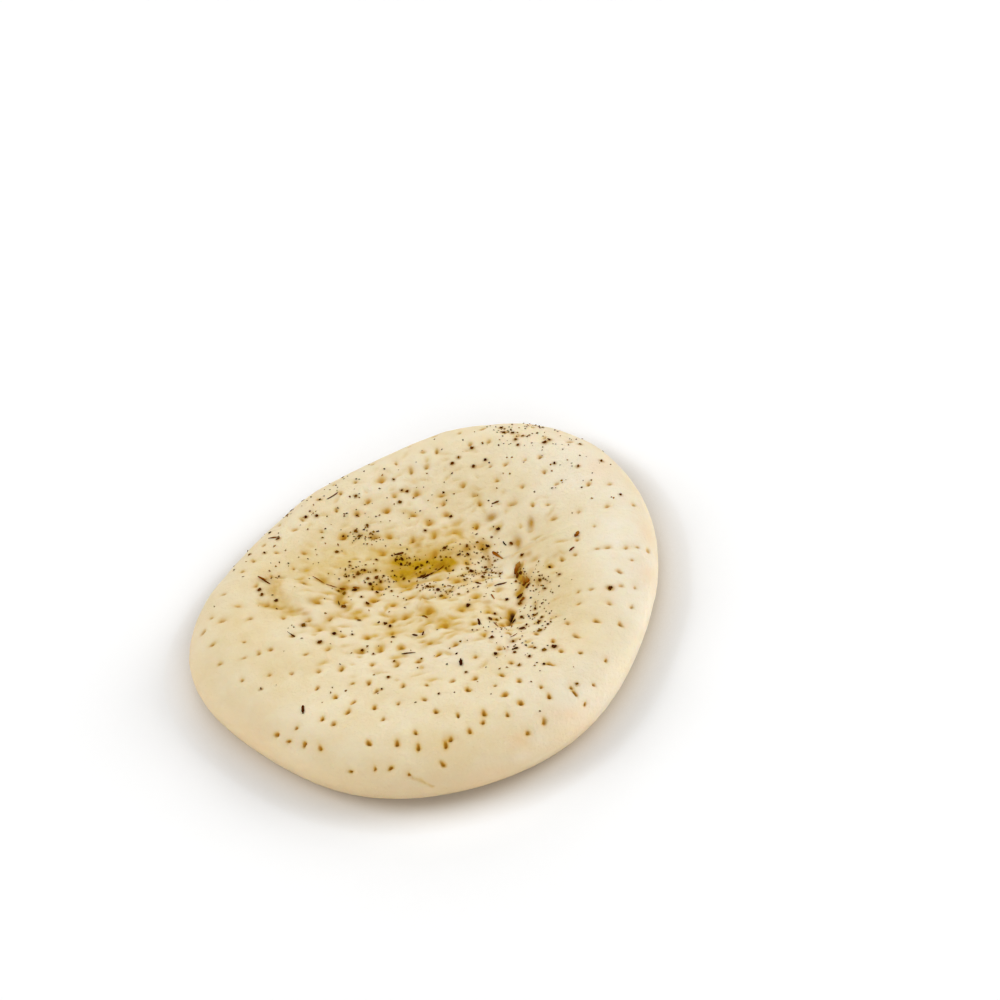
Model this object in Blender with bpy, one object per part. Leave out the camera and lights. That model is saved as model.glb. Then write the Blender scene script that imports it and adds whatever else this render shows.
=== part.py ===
"""A mini pizza base: a hand-pressed disc of par-baked dough, about 165 mm across.

It has a puffy rim, a sunken middle with folds and dents, rows of holes from a
dough docker, and dried herbs that stick to the top. It is one solid.

The dough's skin is described as if it were peeled off and rolled out flat. A
point (u, v) of the flat skin lies at the walk hypot(u, v) from the middle of the
top: over the top first, then round the rim, then under it to the edge of the
flat underside. Units are metres, with +Z up and the underside at z = 0.
"""

import math
import random

import bmesh
import bpy
import numpy as np
from mathutils import Matrix, Vector, noise
from mathutils.bvhtree import BVHTree
from mathutils.geometry import delaunay_2d_cdt

MM = 0.001

# --- Sizes of the whole ---
MEAN_RADIUS = 79.4 * MM
# How the outline differs from a circle: (waves round it, swing, heading in degrees).
OUTLINE_LOBES = (
    (1, 4.0 * MM, -2),
    (2, 5.6 * MM, 39),
    (3, 3.7 * MM, 51),
    (5, 0.7 * MM, -31),
    (6, 0.7 * MM, 2),
)
RIM_HEIGHT = 20.5 * MM
RIM_HEIGHT_LOBES = ((2, 0.7 * MM, 100), (3, 0.5 * MM, -60))
WIDEST_HEIGHT = 8.5 * MM
RIM_ROUNDING = 19.0 * MM
UNDERCUT = 8.0 * MM

# --- The sunken middle ---
WELL_CENTRE = (3 * MM, 10 * MM)
WELL_REACH = (57 * MM, 64 * MM)
WELL_DEPTH = 7.0 * MM
# The well's slope starts and ends at these parts of its reach.
WELL_SLOPE = (0.1, 1.05)
# Folds and creases: (depth, half width on the path's left, half width on its right, the
# points it runs through in mm).
BROAD_FOLDS = (
    (1.9 * MM, 22 * MM, 8 * MM, ((-33, 13), (-22, 10), (-6, 12), (12, 13), (24, 14))),
    (2.7 * MM, 15 * MM, 8 * MM, ((27, 14), (33, 5), (33, -4), (29, -20))),
    (1.1 * MM, 10 * MM, 6 * MM, ((30, -18), (42, -25), (58, -34))),
)
CREASES = (
    (0.9 * MM, 1.5 * MM, 1.3 * MM, ((35.5, 8.5), (33, 5.5), (35.5, 0), (33, -5))),
    (2.2 * MM, 1.2 * MM, 1.1 * MM, ((29.3, -12.8), (27.9, -17.6))),
    (0.5 * MM, 1.6 * MM, 1.1 * MM, ((-39, 20.5), (-29, 13), (-21, 11), (-9, 11), (9, 11))),
    (0.5 * MM, 2.0 * MM, 1.2 * MM, ((-1.4, -4.3), (3.4, -14), (7.6, -17.4), (14.6, -22.5))),
    (0.55 * MM, 2.0 * MM, 2.6 * MM, ((-46.5, 18), (-48, 11), (-47, 4), (-42.6, 1.1))),
    (0.8 * MM, 1.6 * MM, 1.4 * MM, ((-26, 12), (-28, 4))),
)
# Lumps and dents: (height, x, y, reach along x, reach along y), with x, y and reach in mm.
LUMPS = (
    (1.7 * MM, -25, 20, 13, 7),
    (2.0 * MM, -40, 10.5, 7, 6.5),
    (1.5 * MM, 5, -3, 15, 7),
    (0.9 * MM, -35, 3, 6, 5),
    (0.8 * MM, 14, -26, 12, 6),
    (-1.3 * MM, 28, 31.5, 3.4, 1.8),
    (-1.1 * MM, 41, 23.5, 1.6, 3.2),
    (-1.2 * MM, -19, -33, 2.2, 1.8),
    (-0.9 * MM, -2, -37.5, 3.6, 1.6),
    (-1.2 * MM, 3, 17, 10, 4),
    (-0.9 * MM, 35.9, 18.9, 1.6, 3.4),
    (1.2 * MM, -55, -10, 12, 12),
    (0.6 * MM, -12, -17, 14, 6),
)
UNDULATION = 0.7 * MM
UNDULATION_SPAN = 21 * MM
# All unevenness fades out round the widest line, over these parts of the arc above it and
# of the arc below it.
FADE = (0.3, 0.5)

# --- Docking holes ---
# Rows of holes: (x, y, heading in degrees, pitch, count), with x, y and pitch in mm.
DOCKER_ROWS = (
    (-62, -25.5, -7, 8.1, 4),
    (-61.5, -17.5, 8, 4.9, 3),
    (-54, -49, -36, 5.9, 4),
    (-46.5, -49.5, -2, 8.5, 6),
    (-39, -36.5, -39, 7.6, 3),
    (-34, -53, -9, 15.7, 2),
    (-24, -63.5, -2, 16, 2),
    (-32, -70, -11, 8.2, 2),
    (-18.2, -73.2, -39, 6.1, 2),
    (-15.5, -66, -18, 7, 2),
    (-2, -75.5, 70, 6.5, 2),
    (2.5, -68, 15, 5.8, 3),
    (-1.5, -58.3, -13, 8, 4),
    (21.5, -56.5, -38, 6, 2),
    (32, -67, 19, 16.5, 2),
    (36, -59.3, 12, 7.6, 2),
    (34.5, -55.2, 1, 8.3, 3),
    (11, -51.3, -4, 8.2, 3),
    (-10.5, -43.5, -7, 8.1, 5),
    (-19, -43, -38, 12, 1),
    (-27, -37, -12, 5, 2),
    (38, -46.5, 40, 7, 2),
    (48, -43, -17, 8.4, 2),
    (33.5, -36.5, 4, 7.5, 3),
    (46.5, -28.3, -7, 8.8, 3),
    (52.5, -15.8, 1, 4.5, 5),
    (52, -21, -5, 9.1, 2),
    (65.5, -9.5, 42, 8.1, 2),
    (61.8, 2.8, -5, 4.1, 5),
    (45.5, 1.5, 14, 4.2, 3),
    (55.5, 9.5, 34, 8.2, 2),
    (49.5, 21, 2, 9, 4),
    (43, 30.5, -18, 4.8, 2),
    (36.5, 33.5, 50, 7, 2),
    (31.5, 50.5, 0, 6, 4),
    (0, 28.3, 1, 7.5, 4),
    (26, 36.5, 115, 5, 3),
    (13.5, 36.5, 98, 4, 3),
)
ROW_WANDER = 0.35 * MM
# Where no row is listed: (pitch along a row, gap between rows, heading in degrees).
DOCKER_PASS = (8.8 * MM, 8.0 * MM, -7)
PASS_WANDER = 1.3 * MM
PASS_REACH = 1.3 * MEAN_RADIUS
ROW_CLEARANCE = 6.2 * MM
HOLE_CLEARANCE = 3.4 * MM
HOLE_RADIUS = 0.75 * MM
HOLE_DEPTH = 1.0 * MM
DIMPLE_RADIUS = 1.8 * MM
DIMPLE_DEPTH = 0.5 * MM
# A dimple has come to an end at this distance.
DIMPLE_END = 3 * DIMPLE_RADIUS
# The docker misses the outermost skin and these round patches: (x, y, radius) in mm.
HOLES_END = 10 * MM
UNDOCKED = (
    (-25, 19, 13),
    (-60, -42, 17),
    (66, -44, 12),
    (-30, -58, 8),
    (10, -72, 14),
    (50, 5, 30),
    (-45, 9, 7),
    (66, 44, 10),
)

# --- Dried herbs: (x, y, spread along x, spread along y in mm, flakes) ---
HERB_DRIFTS = (
    (0, 17, 8, 5, 8),
    (-18, 16, 5, 3, 8),
    (21, 12, 7, 6, 10),
    (38, -5, 3, 7, 8),
    (32, -25, 6, 9, 9),
    (-12, 3, 16, 8, 6),
    (44, 63, 10, 6, 8),
    (60, 38, 8, 8, 4),
    (-48, 8, 7, 7, 5),
    (-4, 44, 18, 8, 9),
    (-38, 34, 12, 9, 7),
    (-20, 60, 20, 7, 6),
    (-10, -25, 24, 12, 6),
    (20, -50, 24, 12, 3),
)
FLAKE_LENGTHS = (1.4 * MM, 2.4 * MM)
FLAKE_SLENDERNESS = (0.45, 0.7)
FLAKE_THICKNESS = 0.5 * MM
FLAKE_CLEARANCE = 2.8 * MM
# Flakes stay this far inside the mean radius.
FLAKES_END = 5 * MM
# The whole leaves and stalks: (x, y, length in mm, heading in degrees).
STALKS = (
    (27.6, 18, 8.2, -58),
    (3.5, 12.2, 4.6, 25),
    (28, 1.7, 4.8, 16),
    (31, 36.2, 3.6, 12),
    (-44, -10.3, 5.2, -42),
    (-7, -26.7, 4.8, -14),
    (9.8, -37, 3.2, 88),
    (17.8, -17.8, 4.2, 90),
    (-51.5, 17, 4.8, -48),
    (-33.5, 16, 5, -40),
    (-27.9, 4.5, 4, 88),
    (-5, 24.2, 3.6, 8),
    (34.1, 8.2, 4.8, 62),
    (35.5, 1, 3.6, 82),
    (33, -5.6, 3.6, 66),
    (28.9, -14.6, 4.6, 80),
    (28.5, -27.5, 3.4, 42),
    (-43.7, -44, 3.5, 85),
    (-24, 52, 5, 30),
    (-46, 38, 4, -20),
)
STALK_WIDTH = 0.9 * MM
# No flake lands near a stalk's middle or near these parts of its length from there.
STALK_KEEPS = (-0.4, 0, 0.4)

# --- Fineness of the faceted solid ---
SPOKES = 100
UPPER_RINGS = 4
LOWER_RINGS = 3
GRID = 5.2 * MM
HOLE_SIDES = 5
# The ring of points round a hole, in parts of the hole's radius.
HOLE_RING = 1.25
PATH_STEP = 3.0 * MM
# How far the points of creases, of the rim's side and of the grid keep from others.
CREASE_GAP = 1.2 * MM
SIDE_GAP = 1.8 * MM
GRID_GAP = 2.4 * MM
UNDERSIDE_GRID = 16 * MM
SEED = 7


def lobed(base, lobes, angle):
    """base plus a sum of waves round the object."""
    total = np.full_like(angle, base)
    for waves, swing, heading in lobes:
        total = total + swing * np.cos(waves * (angle - math.radians(heading)))
    return total


def outline_radius(angle):
    return lobed(MEAN_RADIUS, OUTLINE_LOBES, angle)


def ease(low, high, value):
    """0 below low, 1 above high, and a smooth rise between them."""
    share = np.clip((value - low) / (high - low), 0, 1)
    return share * share * (3 - 2 * share)


def quarter_arc(a, b):
    """The length of a quarter of an ellipse with the semi-axes a and b."""
    return math.pi / 4 * (3 * (a + b) - math.sqrt((3 * a + b) * (a + 3 * b)))


UPPER_ARC = quarter_arc(RIM_ROUNDING, RIM_HEIGHT - WIDEST_HEIGHT)
LOWER_ARC = quarter_arc(UNDERCUT, WIDEST_HEIGHT)


def middle_of_outline():
    """The middle of the outline's box, which becomes the origin."""
    angle = np.linspace(0, 2 * math.pi, 721)
    reach = outline_radius(angle)
    x, y = reach * np.cos(angle), reach * np.sin(angle)
    return np.array([(x.min() + x.max()) / 2, (y.min() + y.max()) / 2, 0])


def bare_skin(walk, angle):
    """Places and outward normals of the skin before anything dents it."""
    reach = outline_radius(angle)
    rise = lobed(RIM_HEIGHT, RIM_HEIGHT_LOBES, angle) - WIDEST_HEIGHT
    top = reach - RIM_ROUNDING
    over = np.clip((walk - top) / UPPER_ARC, 0, 1) * math.pi / 2
    under = np.clip((walk - top - UPPER_ARC) / LOWER_ARC, 0, 1) * math.pi / 2
    radius = np.minimum(walk, top) + RIM_ROUNDING * np.sin(over) - UNDERCUT * (1 - np.cos(under))
    height = WIDEST_HEIGHT + rise * np.cos(over) - WIDEST_HEIGHT * np.sin(under)
    outward = np.sin(over) / RIM_ROUNDING * np.cos(under)
    upward = np.cos(over) / rise - np.sin(under) / WIDEST_HEIGHT
    length = np.hypot(outward, upward)
    outward, upward = outward / length, upward / length
    places = np.stack([radius * np.cos(angle), radius * np.sin(angle), height], -1)
    normals = np.stack([outward * np.cos(angle), outward * np.sin(angle), upward], -1)
    return places, normals


def smooth_path(points, step):
    """Points about step apart along a smooth curve through the given ones, in mm."""
    stops = np.array(points, float) * MM
    along = np.concatenate([[0], np.cumsum(np.linalg.norm(np.diff(stops, axis=0), axis=1))])
    slopes = np.gradient(stops, along, axis=0)
    path = []
    for i in range(len(stops) - 1):
        gap = along[i + 1] - along[i]
        for t in np.linspace(0, 1, max(2, int(gap / step) + 1))[:-1]:
            path.append(
                (2 * t**3 - 3 * t**2 + 1) * stops[i]
                + (t**3 - 2 * t**2 + t) * gap * slopes[i]
                + (3 * t**2 - 2 * t**3) * stops[i + 1]
                + (t**3 - t**2) * gap * slopes[i + 1]
            )
    return np.array(path + [stops[-1]])


def beside_path(uv, path):
    """How far each point is from a chain of straight pieces, and if it is on its left."""
    nearest = np.full(len(uv), np.inf)
    left = np.zeros(len(uv), bool)
    for start, end in zip(path[:-1], path[1:]):
        run = end - start
        share = np.clip((uv - start) @ run / (run @ run), 0, 1)
        away = np.linalg.norm(uv - start - share[:, None] * run, axis=1)
        turn = run[0] * (uv - start)[:, 1] - run[1] * (uv - start)[:, 0]
        left = np.where(away < nearest, turn > 0, left)
        nearest = np.minimum(nearest, away)
    return nearest, left


def well(uv):
    """How far the middle has sunk."""
    away = np.hypot(*((uv - WELL_CENTRE) / WELL_REACH).T)
    return WELL_DEPTH * (1 - ease(*WELL_SLOPE, away))


def folds_and_lumps(uv):
    """The height that the folds, lumps and dents add."""
    height = np.zeros(len(uv))
    for depth, left_width, right_width, points in BROAD_FOLDS + CREASES:
        away, left = beside_path(uv, smooth_path(points, PATH_STEP))
        height -= depth * np.exp(-((away / np.where(left, left_width, right_width)) ** 2))
    for rise, x, y, reach_x, reach_y in LUMPS:
        away = (uv - np.array([x, y]) * MM) / (np.array([reach_x, reach_y]) * MM)
        height += rise * np.exp(-(away**2).sum(axis=1))
    return height


def undulation(uv):
    """The gentle unevenness of dough that was pressed by hand."""
    return UNDULATION * np.array([noise.noise(Vector((u, v, 0)) / UNDULATION_SPAN) for u, v in uv])


def hole_dents(uv, holes):
    """How deep the docking holes and the dimples round them are."""
    depth = np.zeros(len(uv))
    for hole in holes:
        away = np.hypot(*(uv - hole).T)
        near = away < DIMPLE_END
        depth[near] += DIMPLE_DEPTH * np.exp(-((away[near] / DIMPLE_RADIUS) ** 2))
        depth[near] += HOLE_DEPTH * np.exp(-((away[near] / HOLE_RADIUS) ** 4))
    return depth


def skin(uv, holes):
    """Where points of the flat skin lie on the finished dough."""
    walk, angle = np.hypot(*uv.T), np.arctan2(uv[:, 1], uv[:, 0])
    places, normals = bare_skin(walk, angle)
    wall_start = outline_radius(angle) - RIM_ROUNDING + UPPER_ARC
    fade_start, fade_end = wall_start - FADE[0] * UPPER_ARC, wall_start + FADE[1] * LOWER_ARC
    fade = 1 - ease(fade_start, fade_end, walk)
    raised = folds_and_lumps(uv) + undulation(uv) - hole_dents(uv, holes)
    places = places + normals * (raised * fade)[:, None]
    places[:, 2] -= well(uv)
    return places - middle_of_outline()


def turned(heading):
    """The matrix that turns points of the plane by heading, in degrees."""
    return np.array(Matrix.Rotation(math.radians(heading), 2))


def row_holes(draw):
    """The holes of the listed rows."""
    holes = []
    for x, y, heading, pitch, count in DOCKER_ROWS:
        for pin in range(count):
            hole = np.array([x, y]) * MM + turned(heading) @ [pin * pitch * MM, 0]
            holes.append(hole + [draw.gauss(0, ROW_WANDER), draw.gauss(0, ROW_WANDER)])
    return holes


def docking_holes():
    """All docking holes, as points of the flat skin."""
    draw = random.Random(SEED)
    rows = row_holes(draw)
    holes = list(rows)
    pitch, row_gap, heading = DOCKER_PASS
    reach = int(PASS_REACH / row_gap)
    for row in range(-reach, reach + 1):
        for pin in range(-reach, reach + 1):
            hole = turned(heading) @ [(pin + 0.5 * (row % 2)) * pitch, row * row_gap]
            hole = hole + [draw.gauss(0, PASS_WANDER), draw.gauss(0, PASS_WANDER)]
            from_rows = min(np.hypot(*(hole - h)) for h in rows)
            from_others = min(np.hypot(*(hole - h)) for h in holes)
            if docked(hole) and from_rows > ROW_CLEARANCE and from_others > HOLE_CLEARANCE:
                holes.append(hole)
    return np.array(holes)


def docked(uv):
    """Whether the docker's pass reached this point of the skin."""
    wall_start = outline_radius(np.arctan2(uv[1], uv[0])) - RIM_ROUNDING + UPPER_ARC
    if np.hypot(*uv) > wall_start - HOLES_END:
        return False
    return all(np.hypot(uv[0] - x * MM, uv[1] - y * MM) > r * MM for x, y, r in UNDOCKED)


def ring(centre, radius, sides, turn=0.0):
    angle = turn + np.arange(sides) * 2 * math.pi / sides
    return centre + radius * np.stack([np.cos(angle), np.sin(angle)], -1)


def staggered_grid(spacing, radius):
    """Points of a triangular grid inside a circle."""
    rows = int(radius / spacing) + 2
    row, column = np.mgrid[-rows : rows + 1, -rows : rows + 1].reshape(2, -1)
    grid = np.stack([(column + 0.5 * (row % 2)) * spacing, row * spacing * math.sqrt(0.75)], -1)
    return grid[np.hypot(*grid.T) < radius]


def clear_of(points, others, gap):
    """The points that are further than gap from all the others."""
    away = np.linalg.norm(points[:, None] - others[None], axis=2).min(axis=1)
    return points[away > gap]


def side_points():
    """Rings of points round the rim's side: one at its widest, and the underside's edge last."""
    turn = 2 * math.pi / SPOKES
    angle = np.arange(SPOKES) * turn
    walks = [UPPER_ARC * (i + 1) / UPPER_RINGS for i in range(UPPER_RINGS)]
    walks += [UPPER_ARC + LOWER_ARC * (i + 1) / LOWER_RINGS for i in range(LOWER_RINGS)]
    rings = []
    for i, walk in enumerate(reversed(walks)):
        shifted = angle + (i % 2) * turn / 2
        reach = outline_radius(shifted) - RIM_ROUNDING + walk
        rings.insert(0, np.stack([reach * np.cos(shifted), reach * np.sin(shifted)], -1))
    return rings


def flat_skin_points(holes):
    """All points of the flat skin that the solid's facets join, its edge last."""
    around_holes = [ring(h, HOLE_RADIUS * HOLE_RING, HOLE_SIDES, i) for i, h in enumerate(holes)]
    kept = np.concatenate([holes, *around_holes])
    for _, left_width, right_width, points in CREASES:
        path = smooth_path(points, PATH_STEP)
        across = np.gradient(path, axis=0)[:, ::-1] * [-1, 1]
        across /= np.linalg.norm(across, axis=1)[:, None]
        for offset in (-right_width, 0, left_width):
            kept = np.concatenate([kept, clear_of(path + offset * across, kept, CREASE_GAP)])
    *rings, edge = side_points()
    for around in rings:
        kept = np.concatenate([kept, clear_of(around, kept, SIDE_GAP)])
    inner = staggered_grid(GRID, MEAN_RADIUS)
    inner = inner[np.hypot(*inner.T) < outline_radius(np.arctan2(*inner.T[::-1])) - RIM_ROUNDING]
    kept = np.concatenate([kept, clear_of(inner, kept, GRID_GAP)])
    return np.concatenate([kept, edge])


def triangles_between(points, edge):
    """Delaunay triangles inside a closed loop, the loop being given by point numbers."""
    loop = [(a, b) for a, b in zip(edge, edge[1:] + edge[:1])]
    found = delaunay_2d_cdt([Vector(p) for p in points], loop, [], 1, 1e-7)
    return [[found[3][i][0] for i in face] for face in found[2]]


def dough_mesh(holes):
    """The closed mesh of the bare dough."""
    flat = flat_skin_points(holes)
    count = len(flat)
    edge = list(range(count - SPOKES, count))
    upper = triangles_between(flat, edge)
    places = skin(flat, holes)
    rim_line = places[edge][:, :2]
    inner = staggered_grid(UNDERSIDE_GRID, MEAN_RADIUS - UNDERCUT - UNDERSIDE_GRID)
    under_points = np.concatenate([rim_line, inner])
    lower = triangles_between(under_points, list(range(SPOKES)))
    places = np.concatenate([places, np.column_stack([inner, np.zeros(len(inner))])])
    places[edge, 2] = 0
    numbers = edge + list(range(count, count + len(inner)))
    lower = [[numbers[i] for i in reversed(face)] for face in lower]
    mesh = bpy.data.meshes.new("dough")
    mesh.from_pydata(places.tolist(), [], upper + lower)
    mesh.validate()
    return mesh


def surface_pose(dough, x, y, heading):
    """A frame that lies on the dough's facets at x, y, its x axis turned to heading."""
    here, up, _, _ = dough.ray_cast(Vector((x, y, 2 * RIM_HEIGHT)), Vector((0, 0, -1)))
    along = Vector((math.cos(heading), math.sin(heading), 0))
    along = (along - along.dot(up) * up).normalized()
    pose = Matrix((along, up.cross(along), up)).transposed().to_4x4()
    return Matrix.Translation(here) @ pose


def add_flake(collection, pose, length, width, thickness):
    """A flat, pointed flake of herb, sunk to a third of its thickness."""
    shape = bmesh.new()
    bmesh.ops.create_icosphere(shape, subdivisions=1, radius=0.5)
    size = Matrix.Diagonal((length, width, thickness, 1))
    lifted = Matrix.Translation((0, 0, thickness / 6))
    bmesh.ops.transform(shape, matrix=pose @ lifted @ size, verts=shape.verts)
    mesh = bpy.data.meshes.new("flake")
    shape.to_mesh(mesh)
    shape.free()
    collection.objects.link(bpy.data.objects.new("flake", mesh))


def scatter_herbs(collection, mesh):
    """The stalks by hand, and the flakes in drifts, none touching another."""
    draw = random.Random(SEED)
    shape = bmesh.new()
    shape.from_mesh(mesh)
    dough = BVHTree.FromBMesh(shape)
    shape.free()
    taken = []
    for x, y, length, heading in STALKS:
        heading = math.radians(heading)
        place = np.array([x, y]) * MM - middle_of_outline()[:2]
        reach = np.array([math.cos(heading), math.sin(heading)]) * length * MM
        taken += [place + reach * share for share in STALK_KEEPS]
        pose = surface_pose(dough, *place, heading)
        add_flake(collection, pose, length * MM, STALK_WIDTH, FLAKE_THICKNESS)
    for x, y, spread_x, spread_y, count in HERB_DRIFTS:
        landed = 0
        while landed < count:
            place = np.array([draw.gauss(x, spread_x), draw.gauss(y, spread_y)]) * MM
            place -= middle_of_outline()[:2]
            length = draw.uniform(*FLAKE_LENGTHS)
            width = length * draw.uniform(*FLAKE_SLENDERNESS)
            heading = draw.uniform(0, math.pi)
            clear = all(np.hypot(*(place - t)) > FLAKE_CLEARANCE for t in taken)
            if clear and np.hypot(*place) < MEAN_RADIUS - FLAKES_END:
                pose = surface_pose(dough, *place, heading)
                add_flake(collection, pose, length, width, FLAKE_THICKNESS)
                taken.append(place)
                landed += 1


def fuse(obj, collection):
    """Joins all objects of the collection to obj, and removes them."""
    union = obj.modifiers.new("fuse", "BOOLEAN")
    union.operation = "UNION"
    union.operand_type = "COLLECTION"
    union.collection = collection
    bpy.context.view_layer.update()
    graph = bpy.context.evaluated_depsgraph_get()
    fused = bpy.data.meshes.new_from_object(obj.evaluated_get(graph))
    obj.modifiers.remove(union)
    obj.data = fused
    for flake in list(collection.objects):
        bpy.data.objects.remove(flake)
    bpy.data.collections.remove(collection)


def dough_material():
    material = bpy.data.materials.new("pale dough")
    material.use_nodes = True
    shader = material.node_tree.nodes["Principled BSDF"]
    shader.inputs["Base Color"].default_value = (0.80, 0.66, 0.43, 1)
    shader.inputs["Roughness"].default_value = 0.75
    shader.inputs["Metallic"].default_value = 0.0
    return material


def main():
    for old in list(bpy.data.objects):
        bpy.data.objects.remove(old)
    holes = docking_holes()
    base = bpy.data.objects.new("pizza_base", dough_mesh(holes))
    bpy.context.scene.collection.objects.link(base)
    herbs = bpy.data.collections.new("herbs")
    bpy.context.scene.collection.children.link(herbs)
    scatter_herbs(herbs, base.data)
    fuse(base, herbs)
    base.data.materials.clear()
    base.data.materials.append(dough_material())
    base.data.shade_smooth()
    base.data.set_sharp_from_angle(angle=math.radians(50))


main()
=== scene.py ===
"""The looks of a mini pizza base: pale dough with docking holes, oil and dried herbs.

The dough's skin is described as if it were peeled off and rolled out flat. A
point (u, v) of the flat skin lies at the walk hypot(u, v) from the middle of the
top: over the top first, then round the rim, then under it to the edge of the
flat underside. Units are metres, with +Z up and the underside at z = 0.
"""

import math
import random
from typing import NamedTuple

import bpy
import numpy as np
from mathutils import Matrix, Vector, noise
from mathutils.geometry import delaunay_2d_cdt


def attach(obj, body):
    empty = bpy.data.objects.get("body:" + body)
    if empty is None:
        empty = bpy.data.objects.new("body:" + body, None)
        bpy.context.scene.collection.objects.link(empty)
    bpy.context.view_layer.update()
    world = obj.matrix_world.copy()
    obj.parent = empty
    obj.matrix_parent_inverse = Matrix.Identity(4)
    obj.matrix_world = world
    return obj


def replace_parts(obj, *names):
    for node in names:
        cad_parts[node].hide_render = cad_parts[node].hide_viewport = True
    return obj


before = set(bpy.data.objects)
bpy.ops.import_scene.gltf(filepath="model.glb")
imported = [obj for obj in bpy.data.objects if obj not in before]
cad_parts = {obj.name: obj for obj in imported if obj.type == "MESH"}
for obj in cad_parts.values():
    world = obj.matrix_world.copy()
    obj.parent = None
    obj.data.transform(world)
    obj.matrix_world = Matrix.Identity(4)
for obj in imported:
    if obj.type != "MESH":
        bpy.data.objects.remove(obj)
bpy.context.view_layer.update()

MM = 0.001
SEED = 7
# Each kind of unevenness has layers of its own in the random noise.
FINE_LAYER = 1
CREASE_LAYER = 2
MASK_LAYER = 3
WRINKLE_LAYER = 5
WRINKLE_GAP_LAYER = 8
WANDER_LAYERS = (12, 15)

# --- Sizes of the whole ---
MEAN_RADIUS = 79.4 * MM
# How the outline differs from a circle: (waves round it, swing, heading in degrees).
OUTLINE_LOBES = (
    (1, 4.0 * MM, -2),
    (2, 5.6 * MM, 39),
    (3, 3.7 * MM, 51),
    (5, 0.7 * MM, -31),
    (6, 0.7 * MM, 2),
)
RIM_HEIGHT = 20.5 * MM
RIM_HEIGHT_LOBES = ((2, 0.7 * MM, 100), (3, 0.5 * MM, -60))
WIDEST_HEIGHT = 8.5 * MM
RIM_ROUNDING = 19.0 * MM
UNDERCUT = 8.0 * MM

# --- The sunken middle ---
WELL_CENTRE = (3 * MM, 10 * MM)
WELL_REACH = (57 * MM, 64 * MM)
WELL_DEPTH = 7.0 * MM
# The well's slope starts and ends at these parts of its reach.
WELL_SLOPE = (0.1, 1.05)
# The finish and the fine relief of the middle fade out between these parts of its reach.
SUNK_EDGE = (0.45, 0.95)
# Folds and creases: (depth, half width on the path's left, half width on its right, the
# points it runs through in mm).
BROAD_FOLDS = (
    (1.9 * MM, 22 * MM, 8 * MM, ((-33, 13), (-22, 10), (-6, 12), (12, 13), (24, 14))),
    (2.7 * MM, 15 * MM, 8 * MM, ((27, 14), (33, 5), (33, -4), (29, -20))),
    (1.1 * MM, 10 * MM, 6 * MM, ((30, -18), (42, -25), (58, -34))),
)
CREASES = (
    (0.9 * MM, 1.5 * MM, 1.3 * MM, ((35.5, 8.5), (33, 5.5), (35.5, 0), (33, -5))),
    (2.2 * MM, 1.2 * MM, 1.1 * MM, ((29.3, -12.8), (27.9, -17.6))),
    (
        0.5 * MM, 1.6 * MM, 1.1 * MM,
        ((-39, 20.5), (-35, 17), (-29, 13), (-21, 11), (-9, 11), (1.5, 9.5), (9, 11)),
    ),
    (0.5 * MM, 2.0 * MM, 1.2 * MM, ((-1.4, -4.3), (3.4, -14), (7.6, -17.4), (14.6, -22.5))),
    (0.55 * MM, 2.0 * MM, 2.6 * MM, ((-46.5, 18), (-48, 11), (-47, 4), (-42.6, 1.1))),
    (0.5 * MM, 1.4 * MM, 1.1 * MM, ((-54, 7), (-51.5, 5), (-47.5, 3))),
    (0.8 * MM, 1.6 * MM, 1.4 * MM, ((-26, 12), (-28, 4))),
    (0.4 * MM, 1.4 * MM, 0.9 * MM, ((-37.9, -6.1), (-34.6, -8.7), (-30.5, -10.3))),
    (0.4 * MM, 0.8 * MM, 0.6 * MM, ((-12.4, -78), (-9.5, -80.6), (-7, -83))),
)
# How unevenly deep a crease is: (swing, span).
CREASE_RAGGEDNESS = (0.6, 5 * MM)
# How deep a crease is once it has its full dark colour, which is painted shade.
DEEP_CREASE = 2.2 * MM
# Lumps and dents: (height, x, y, reach along x, reach along y), with x, y and reach in mm.
LUMPS = (
    (1.7 * MM, -25, 20, 13, 7),
    (2.0 * MM, -40, 10.5, 7, 6.5),
    (1.5 * MM, 5, -3, 15, 7),
    (0.9 * MM, -35, 3, 6, 5),
    (0.8 * MM, 14, -26, 12, 6),
    (-1.3 * MM, 28, 31.5, 3.4, 1.8),
    (-1.1 * MM, 41, 23.5, 1.6, 3.2),
    (-1.2 * MM, -19, -33, 2.2, 1.8),
    (-0.9 * MM, -2, -37.5, 3.6, 1.6),
    (-1.2 * MM, 3, 17, 10, 4),
    (-0.9 * MM, 35.9, 18.9, 1.6, 3.4),
    (1.2 * MM, -55, -10, 12, 12),
    (0.6 * MM, -12, -17, 14, 6),
)
UNDULATION = 0.7 * MM
UNDULATION_SPAN = 21 * MM
# All unevenness but the finest fades out round the widest line, over these parts of the arc
# above it and of the arc below it.
FADE = (0.3, 0.5)
# Finer unevenness that the hands leave, stretched from side to side: (height, span).
FINE_UNDULATIONS = ((0.45 * MM, 7.5 * MM), (0.25 * MM, 3.6 * MM), (0.08 * MM, 1.6 * MM))
FINE_STRETCH = (1, 1.5)
# Its strength on the rim, next to the sunken middle, and on the side, next to the rim. The
# side starts at this part of the arc above the widest line.
RIM_CALM = 0.45
SIDE_CALM = 0.5
SIDE_START = 0.7
# Wrinkled parts of the rim, where it is stronger: (strength, x, y, reach, reach) in mm.
WRINKLED_RIM = (
    (0.8, 34, -70, 16, 9),
    (0.7, 58, -45, 10, 10),
    (0.6, -62, 4, 12, 16),
    (0.5, 18, -60, 14, 8),
)
# Fine wrinkles run where a random wave crosses zero: (depth, span of the wave, sharpness).
WRINKLES = ((0.40 * MM, 17 * MM, 14), (0.20 * MM, 9 * MM, 10))
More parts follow.
